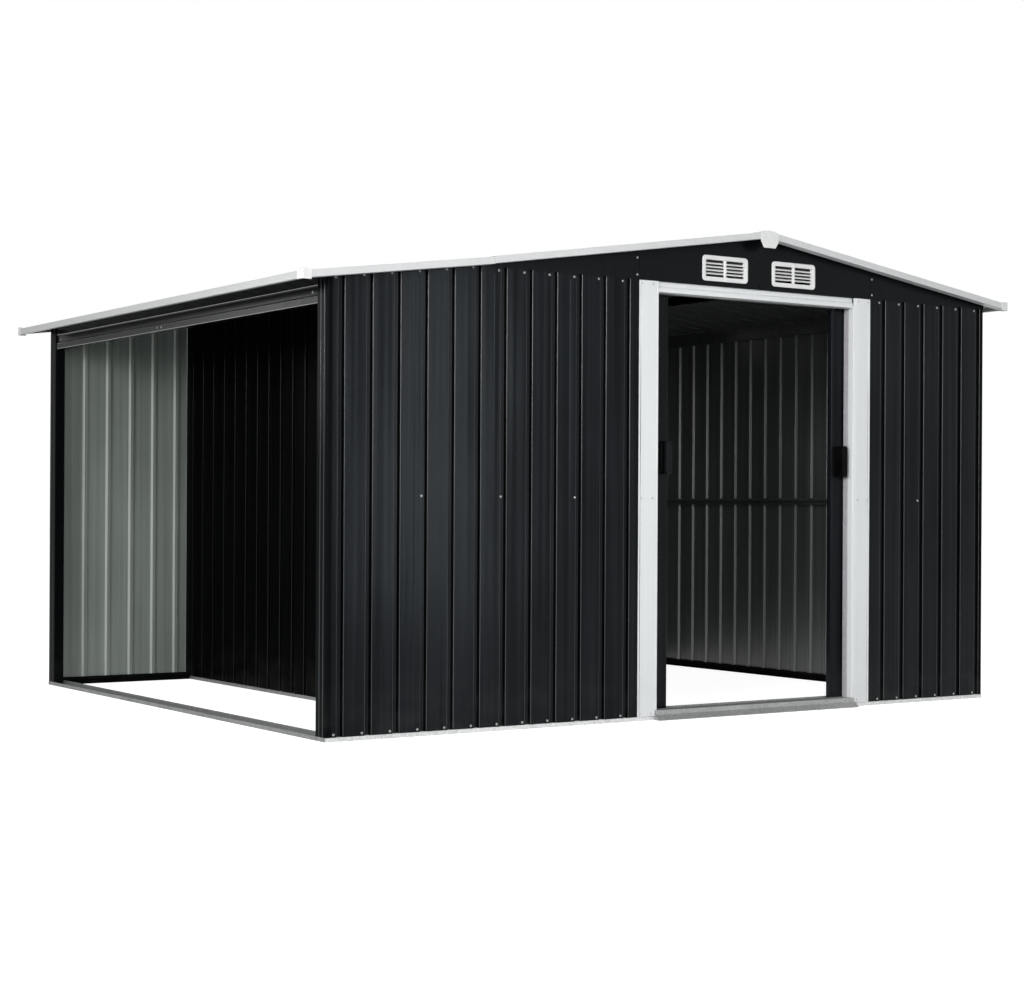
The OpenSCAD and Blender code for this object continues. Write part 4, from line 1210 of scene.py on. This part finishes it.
def vent(place):
    """Louvred vent: a rounded rim, a mullion and sloping blades. Its frame is x, z and out from the wall."""
    def rim(inset, out):
        ring = round_rect(VENT_W - 2 * inset, VENT_H - 2 * inset, max(VENT_RIM - inset, 2.0))
        return stacked(*place(ring[:, 0], ring[:, 1], out))

    lip = VENT_RIM + 2.4
    profile = [(0, 0), (0, 1.4), (0.5, 2.3), (1.5, 2.9), (2.6, VENT_FACE), (lip - 1.2, VENT_FACE),
               (lip - 0.4, 2.7), (lip, 2.0), (lip, 0.3), (lip, -VENT_PLUG), (VENT_RIM + SEAT, -VENT_PLUG),
               (VENT_RIM + SEAT, 0)]
    solids = [loft([rim(*p) for p in profile], closed=True)]
    half_w = VENT_W / 2 - lip
    half_h = VENT_H / 2 - lip
    mullion = round_rect(12.0, 8.0, 2.2, 3)
    solids.append(bar(mullion, lambda a, b, s: place(a, (2 * s - 1) * half_h, b - 1.6)))
    step = (VENT_H - 2 * lip) / VENT_SLOTS
    tilt = math.radians(28)
    blade = round_rect(14.0, 3.4, 1.6, 3)
    out = blade[:, 0] * math.cos(tilt) - blade[:, 1] * math.sin(tilt) - 4.4
    up = blade[:, 0] * math.sin(tilt) * -1 - blade[:, 1] * math.cos(tilt)
    for k in range(1, VENT_SLOTS):
        z = (k - VENT_SLOTS / 2) * step
        solids.append(bar(np.stack([out, up], 1), lambda a, b, s, z=z: place((2 * s - 1) * half_w, z + b, a)))
    return solids


def build_vents():
    middle = VENT_IN + VENT_W / 2
    for name, turn in [("front_vents", same), ("back_vents", behind)]:
        solids = []
        for x in (RIDGE_X - middle, RIDGE_X + middle):
            place = turn(lambda u, v, z, x=x: (x + u, v, WALL_H + VENT_UP + VENT_H / 2 + z))
            solids += vent(lambda a, b, c, place=place: place(a, -c, b))
        piece(name + "_moulded", solids, [white_plastic], replaces=[name])


# Sliding doors
def build_doors():
    x0, y0, z0 = leaf_low
    x1, y1, z1 = leaf_high
    leaf_w = x1 - x0
    edge = (leaf_w - 2 * RIB_PITCH) / 2
    ribs = [x0 + edge + k * RIB_PITCH for k in range(3)]
    face = [(u, y0 + v) for u, v in ribbed(x0, x1, ribs)]
    path = [(x0 + HEM, y1), (x0, y1), *face, (x1, y1), (x1 - HEM, y1)]
    leg = 24.0
    back = y1 - LEAF_T - SEAT
    rail_y = y0 + RIB_D + LEAF_T + SEAT
    u0 = x0 + LEAF_T + SEAT
    u1 = x1 - LEAF_T - SEAT
    mid = channel(rail_y, back, MID_H - leg / 2, MID_H + leg / 2, MID_H + leg / 2)
    top = [(back, z1 - leg), (back, z1), (rail_y, z1), (rail_y, z1 - leg)]
    low = [(rail_y, z0 + leg), (rail_y, z0), (back, z0), (back, z0 + leg)]

    def leaf(place):
        def point(u, v, s):
            z = z0 + (z1 - z0) * s
            wave = 0.10 * np.sin(u / 5.9) + 0.3 * np.sin(u / 31.0 + z / 260.0) * math.sin(math.pi * s)
            inside = (v > y0 - 1) & (v < y0 + RIB_D + 1)
            return place(u, v + np.where(inside, wave, 0), z)
        return fold(path, LEAF_T, 2.4, point, np.linspace(0, 1, FINE[0]), FINE[1])

    shift = span("right_door_panel")[1][0] - (2 * RIDGE_X - x0)

    def on_right_leaf(u, v, z):
        return 2 * RIDGE_X + shift - u, v, z

    for side, place in [("left", on_front), ("right", on_right_leaf)]:
        body = side + "_door"
        # The leaf's back takes the grey-green coat darkened as painted shade
        piece(body + "_panel_sheet", [leaf(place)], [anthracite_sheet, room_coat_painted_shade], body,
              [body + "_panel"])
        rails = [run_fold(place, u0, u1, p, RAIL_T, 1.6) for p in (top, mid, low)]
        piece(body + "_rails_rolled", rails, [galvanised], body, [body + "_rails"])
        # The left grip is lightened as painted light; the right one stays plain black
        grip = grip_plastic_painted_light if side == "left" else black_plastic
        piece(body + "_handle_moulded", handle(place), [black_plastic, grip], body,
              [body + "_handle"])
        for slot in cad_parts[body + "_glides"].material_slots:
            slot.material = black_plastic


def handle(place):
    """Deep pull: a foot, a stem and a rounded front bar, with a finger hollow on the side of the jamb."""
    low, high = span("left_door_handle")
    x, z = (low[0] + high[0]) / 2, (low[2] + high[2]) / 2
    w, h = high[0] - low[0], high[2] - low[2]
    deep = high[1] - low[1]
    base = high[1]
    r = 9.0
    wall = 5.0
    inner = 0.28 * deep
    outer = 0.66 * deep

    def block(profile):
        """Rounded block of rings, each an inset from the outline and a reach in front of the leaf."""
        rings = []
        for inset, out in profile:
            ring = round_rect(w - 2 * inset, h - 2 * inset, r - inset, 8)
            rings.append(stacked(*place(x + ring[:, 0], base - out, z + ring[:, 1])))
        points, faces, coats = loft(rings)
        return points, faces, [1] * len(coats)

    def web(outline):
        """Part of the middle, between the foot and the front bar."""
        return bar(outline, lambda a, b, s: place(x + a, base - inner + 0.5 - (outer - inner + 1) * s, z + b))

    ring = round_rect(w, h, r, 8)
    side = w / 2 - r + math.sqrt(r * r - (r - wall) ** 2)
    top = [(side, h / 2 - wall), *[tuple(p) for p in ring if p[1] > h / 2 - wall], (-side, h / 2 - wall)]
    foot = [(0.8, 0), (0, 0.8), (0, inner - 1.2), (0.4, inner - 0.4), (1.2, inner)]
    front = [(1.2, outer), (0.4, outer + 0.4), (0, outer + 1.2), (0, deep - 5), (0.4, deep - 2.8),
             (1.4, deep - 1.1), (2.8, deep - 0.3), (4.6, deep)]
    return [
        block(foot), block(front),
        web([(wall, wall - h / 2), (w / 2, wall - h / 2), (w / 2, h / 2 - wall), (wall, h / 2 - wall)]),
        web(top), web([(a, -b) for a, b in reversed(top)])]


# Fasteners
SCREW_PROFILE = [(4.6, 0.0), (4.6, 0.6), (4.1, 1.1), (3.3, 1.3), (3.2, 1.8), (2.8, 2.5), (1.9, 3.0),
                 (0.7, 3.2)]
SCREW_SIDES = 12
FRONT_MID_SCREWS = (363.0, 684.0, 999.0, 2696.0)
FRONT_LAPS = (333.0, 655.0, 976.0)


def screw(place, u, v, z):
    """Pan-head screw on its washer, standing out from a wall's face at (u, v, z)."""
    turn = np.linspace(0, 2 * math.pi, SCREW_SIDES, endpoint=False)
    rings = [stacked(*place(u + r * np.cos(turn), v - out, z + r * np.sin(turn)))
             for r, out in SCREW_PROFILE]
    return loft(rings)


# Heights of the wall screws over the base's lip, under the wall's top and under the lean-to's slope
SCREW_FOOT = 9.0
SCREW_HEAD = 10.0
SCREW_EAVE = 15.0
SCREW_BESIDE = RIB_MOUTH / 2 + 11
MID_EVERY = 3


def wall_screws(place, shift, ribs, slope, mid):
    """Screws beside each rib at the foot and head of a wall, and on its mid rail beside some."""
    out = []
    for k, rib in enumerate(ribs):
        u = shift + rib - SCREW_BESIDE
        head = slope(u) - SCREW_EAVE if slope else WALL_H - SCREW_HEAD
        out += [screw(place, u, 0, LIP_H + SCREW_FOOT), screw(place, u, 0, head)]
        if mid and k % MID_EVERY == MID_EVERY - 1:
            out.append(screw(place, u, 0, MID_H))
    return out


def build_fasteners():
    walls = {
        "front": [(on_front, 0, lean_ribs, lean_under), (on_front, 0, left_ribs, None),
                  (on_front, 0, right_ribs, None)],
        "back": [(behind(on_front), 0, lean_ribs, lean_under),
                 (on_back, POST_R, rib_row(MAIN_W - POST_R), None)],
        "right": [(on_right, POST_R, rib_row(DEPTH - 2 * POST_R), None)],
    }
    for side, rows in walls.items():
        solids = []
        for row in rows:
            solids += wall_screws(*row, mid=side != "front")
        if side in ("front", "back"):
            solids += gable_screws(on_front if side == "front" else behind(on_front))
        if side == "front":
            solids += [screw(on_front, u, 0, MID_H) for u in FRONT_MID_SCREWS]
            piece("jamb_screws", jamb_screws(on_front) + jamb_screws(across(on_front)), [pale_screw])
        piece(side + "_screws", solids, [plated_screw])
    piece("lean_to_beam_screws", beam_screws(), [plated_screw])
    piece("roof_screws", roof_screws(), [plated_screw])
    piece("front_sheet_laps", sheet_laps(), [anthracite_sheet])


def beam_screws():
    """Screws on either side of the beam's splice, and near its two ends."""
    z0 = LEAN_EAVE_H - BEAM_H
    splice_z = 14.0
    end_z = 40.0
    apart = 18.0
    inset = POST_SIDE + 46
    spots = [(BEAM_SPLICE - apart, splice_z), (BEAM_SPLICE + apart, splice_z), (DEPTH - inset, end_z),
             (inset, end_z)]
    out = []
    for u, z in spots:
        dent = BEAM_FACE + BEAM_CREASE if z > BEAM_BAND else BEAM_FACE
        out.append(screw(on_left(0), u, dent, z0 + z))
    return out


def sheet_laps():
    """Raised lips where the front sheets lap."""
    half = 2.6
    foot = 0.1
    rise = 1.7
    lip_t = 0.4
    bend = 2.0
    out = []
    for x in FRONT_LAPS:
        top = lean_under(x) - 26 if x < LEAN_W else WALL_H - 22
        lip = [(x - half, -foot), (x, -rise), (x + half, -foot)]
        out.append(stand_fold(on_front, LIP_H + 16, top, lip, lip_t, bend))
    return out


def gable_screws(place):
    """Two rivets beside each upright seam of a gable."""
    out = []
    for x in (RIDGE_X - GABLE_HALF - 9, RIDGE_X + GABLE_HALF + 9):
        out += [screw(place, x, 0, WALL_H + 18), screw(place, x, 0, min(WALL_H + 80, main_under(x) - 26))]
    return out


def jamb_screws(place):
    """Pairs of screws at the foot, middle and head of a jamb."""
    wide = OPEN_X0 - JAMB_X0
    return [screw(place, JAMB_X0 + share * wide, -JAMB_T, z)
            for z in (LIP_H + 12, MID_H, WALL_H - 12) for share in (0.13, 0.70)]


def roof_screws():
    """Screws through every other pan of the roof, over the rails that carry it."""
    out = []
    ribs = rib_row(ROOF_LEN)[::2]
    main = (LAP_X, main_under(LAP_X), MAIN_TAN, [LEAN_W + 20, RIDGE_X - MAIN_W / 4 + 15])
    lines = [(same, *main), (across, *main), (same, 0, lean_under(0), LEAN_TAN, [BEAM_D / 2, LEAN_W - 60])]
    for turn, x, z, slope, places in lines:
        slope_place = turn(on_slope(x, ROOF_Y0, z, slope))
        for far in places:
            up = (far - x) / math.cos(math.atan(slope))
            for rib in ribs:
                out.append(screw(lambda u, v, w: slope_place(w, u, -v), rib - RIB_PITCH / 2, -SHEET_T, up))
    return out


build_walls()
build_ground_frame()
build_posts()
build_doorway()
build_rails()
build_lean_to_frame()
build_roof()
build_roof_trim()
build_roof_caps()
build_gables()
build_vents()
build_doors()
build_fasteners()


# Camera, at the photograph's viewing angle
IMAGE_W = 1024
IMAGE_H = 982
FOCAL_PX = 1983.17
CENTRE_Y_PX = 509.83
YAW = math.radians(33.7363)
ROLL = math.radians(0.3016)
CAMERA_MM = np.array([-3102.4, -5740.1, 766.6])


def build_camera():
    ahead = Vector((math.sin(YAW), math.cos(YAW), 0))
    right = Vector((math.cos(YAW), -math.sin(YAW), 0))
    up = Vector((0, 0, 1))
    rolled_right = right * math.cos(ROLL) + up * math.sin(ROLL)
    rolled_up = up * math.cos(ROLL) - right * math.sin(ROLL)
    turn = Matrix((rolled_right, rolled_up, -ahead)).transposed().to_4x4()
    data = bpy.data.cameras.new("camera")
    data.sensor_fit = "HORIZONTAL"
    data.sensor_width = 36.0
    data.lens = FOCAL_PX / IMAGE_W * data.sensor_width
    data.shift_y = (CENTRE_Y_PX - IMAGE_H / 2) / IMAGE_W
    camera = bpy.data.objects.new("camera", data)
    camera.matrix_world = Matrix.Translation(Vector(CAMERA_MM * MM + corner)) @ turn
    bpy.context.scene.collection.objects.link(camera)
    bpy.context.scene.camera = camera


# Studio: a white surround, a floor that keeps the shadow, and soft lamps
def seen_rays(tree):
    """1 for camera, glossy and transmission rays, which see the white surround."""
    path = shader_node(tree, "ShaderNodeLightPath")
    seen = math_node(tree, "MAXIMUM", path.outputs["Is Camera Ray"], path.outputs["Is Glossy Ray"])
    return math_node(tree, "MAXIMUM", seen, path.outputs["Is Transmission Ray"])


def build_world():
    world = bpy.data.worlds.new("white_surround")
    world.use_nodes = True
    tree = world.node_tree
    background = tree.nodes["Background"]
    ambient = (0.32, 0.325, 0.33, 1)
    wire(tree, colour_mix(tree, seen_rays(tree), ambient, (1.0, 1.0, 1.0, 1)), background.inputs["Color"])
    background.inputs["Strength"].default_value = 1.0
    bpy.context.scene.world = world


def build_floor():
    size = 40.0
    mesh = bpy.data.meshes.new("floor")
    corners = [(-size, -size, 0), (size, -size, 0), (size, size, 0), (-size, size, 0)]
    mesh.from_pydata(corners, [], [(0, 1, 2, 3)])
    floor = bpy.data.objects.new("floor", mesh)
    bpy.context.scene.collection.objects.link(floor)
    made = bpy.data.materials.new("studio_floor")
    made.use_nodes = True
    tree = made.node_tree
    tree.nodes.remove(tree.nodes["Principled BSDF"])
    bounce = shader_node(tree, "ShaderNodeBsdfDiffuse", in_Color=(0.75, 0.75, 0.75, 1))
    shadow = shader_node(tree, "ShaderNodeBsdfDiffuse", in_Color=(0.5, 0.5, 0.5, 1))
    glow = shader_node(tree, "ShaderNodeEmission", in_Strength=0.93)
    shown = shader_node(tree, "ShaderNodeAddShader")
    wire(tree, shadow.outputs[0], shown.inputs[0])
    wire(tree, glow.outputs[0], shown.inputs[1])
    choice = shader_node(tree, "ShaderNodeMixShader")
    wire(tree, seen_rays(tree), choice.inputs[0])
    wire(tree, bounce.outputs[0], choice.inputs[1])
    wire(tree, shown.outputs[0], choice.inputs[2])
    wire(tree, choice.outputs[0], tree.nodes["Material Output"].inputs["Surface"])
    mesh.materials.append(made)


def lamp(name, place, aim, size, power, spread=180):
    """Soft box of a size in metres, turned towards a point, and narrowed to a spread in degrees."""
    data = bpy.data.lights.new(name, "AREA")
    data.shape = "RECTANGLE"
    data.size, data.size_y = size
    data.energy = power
    data.spread = math.radians(spread)
    made = bpy.data.objects.new(name, data)
    made.location = place
    made.rotation_euler = (Vector(aim) - Vector(place)).to_track_quat("-Z", "Y").to_euler()
    bpy.context.scene.collection.objects.link(made)


def build_studio():
    build_world()
    build_floor()
    lamp("key_box", (-4.0, -8.2, 2.4), (0.0, 0.0, 0.9), (3.2, 2.8), 204)
    lamp("left_key", (-6.0, -5.0, 2.6), (0.6, -1.2, 0.9), (1.6, 2.2), 21, 44)
    lamp("left_box", (-5.8, -1.4, 2.2), (-1.2, 0.6, 0.9), (0.5, 1.4), 62)
    lamp("beam_glint", (-6.2, 8.0, 2.2), (-1.5, 1.0, 1.5), (1.0, 1.4), 26)
    lamp("pan_strip", (2.5, -7.2, 1.3), (-1.0, -1.2, 0.9), (0.3, 2.4), 28)


build_camera()
build_studio()
bpy.context.scene.view_settings.view_transform = "Standard"
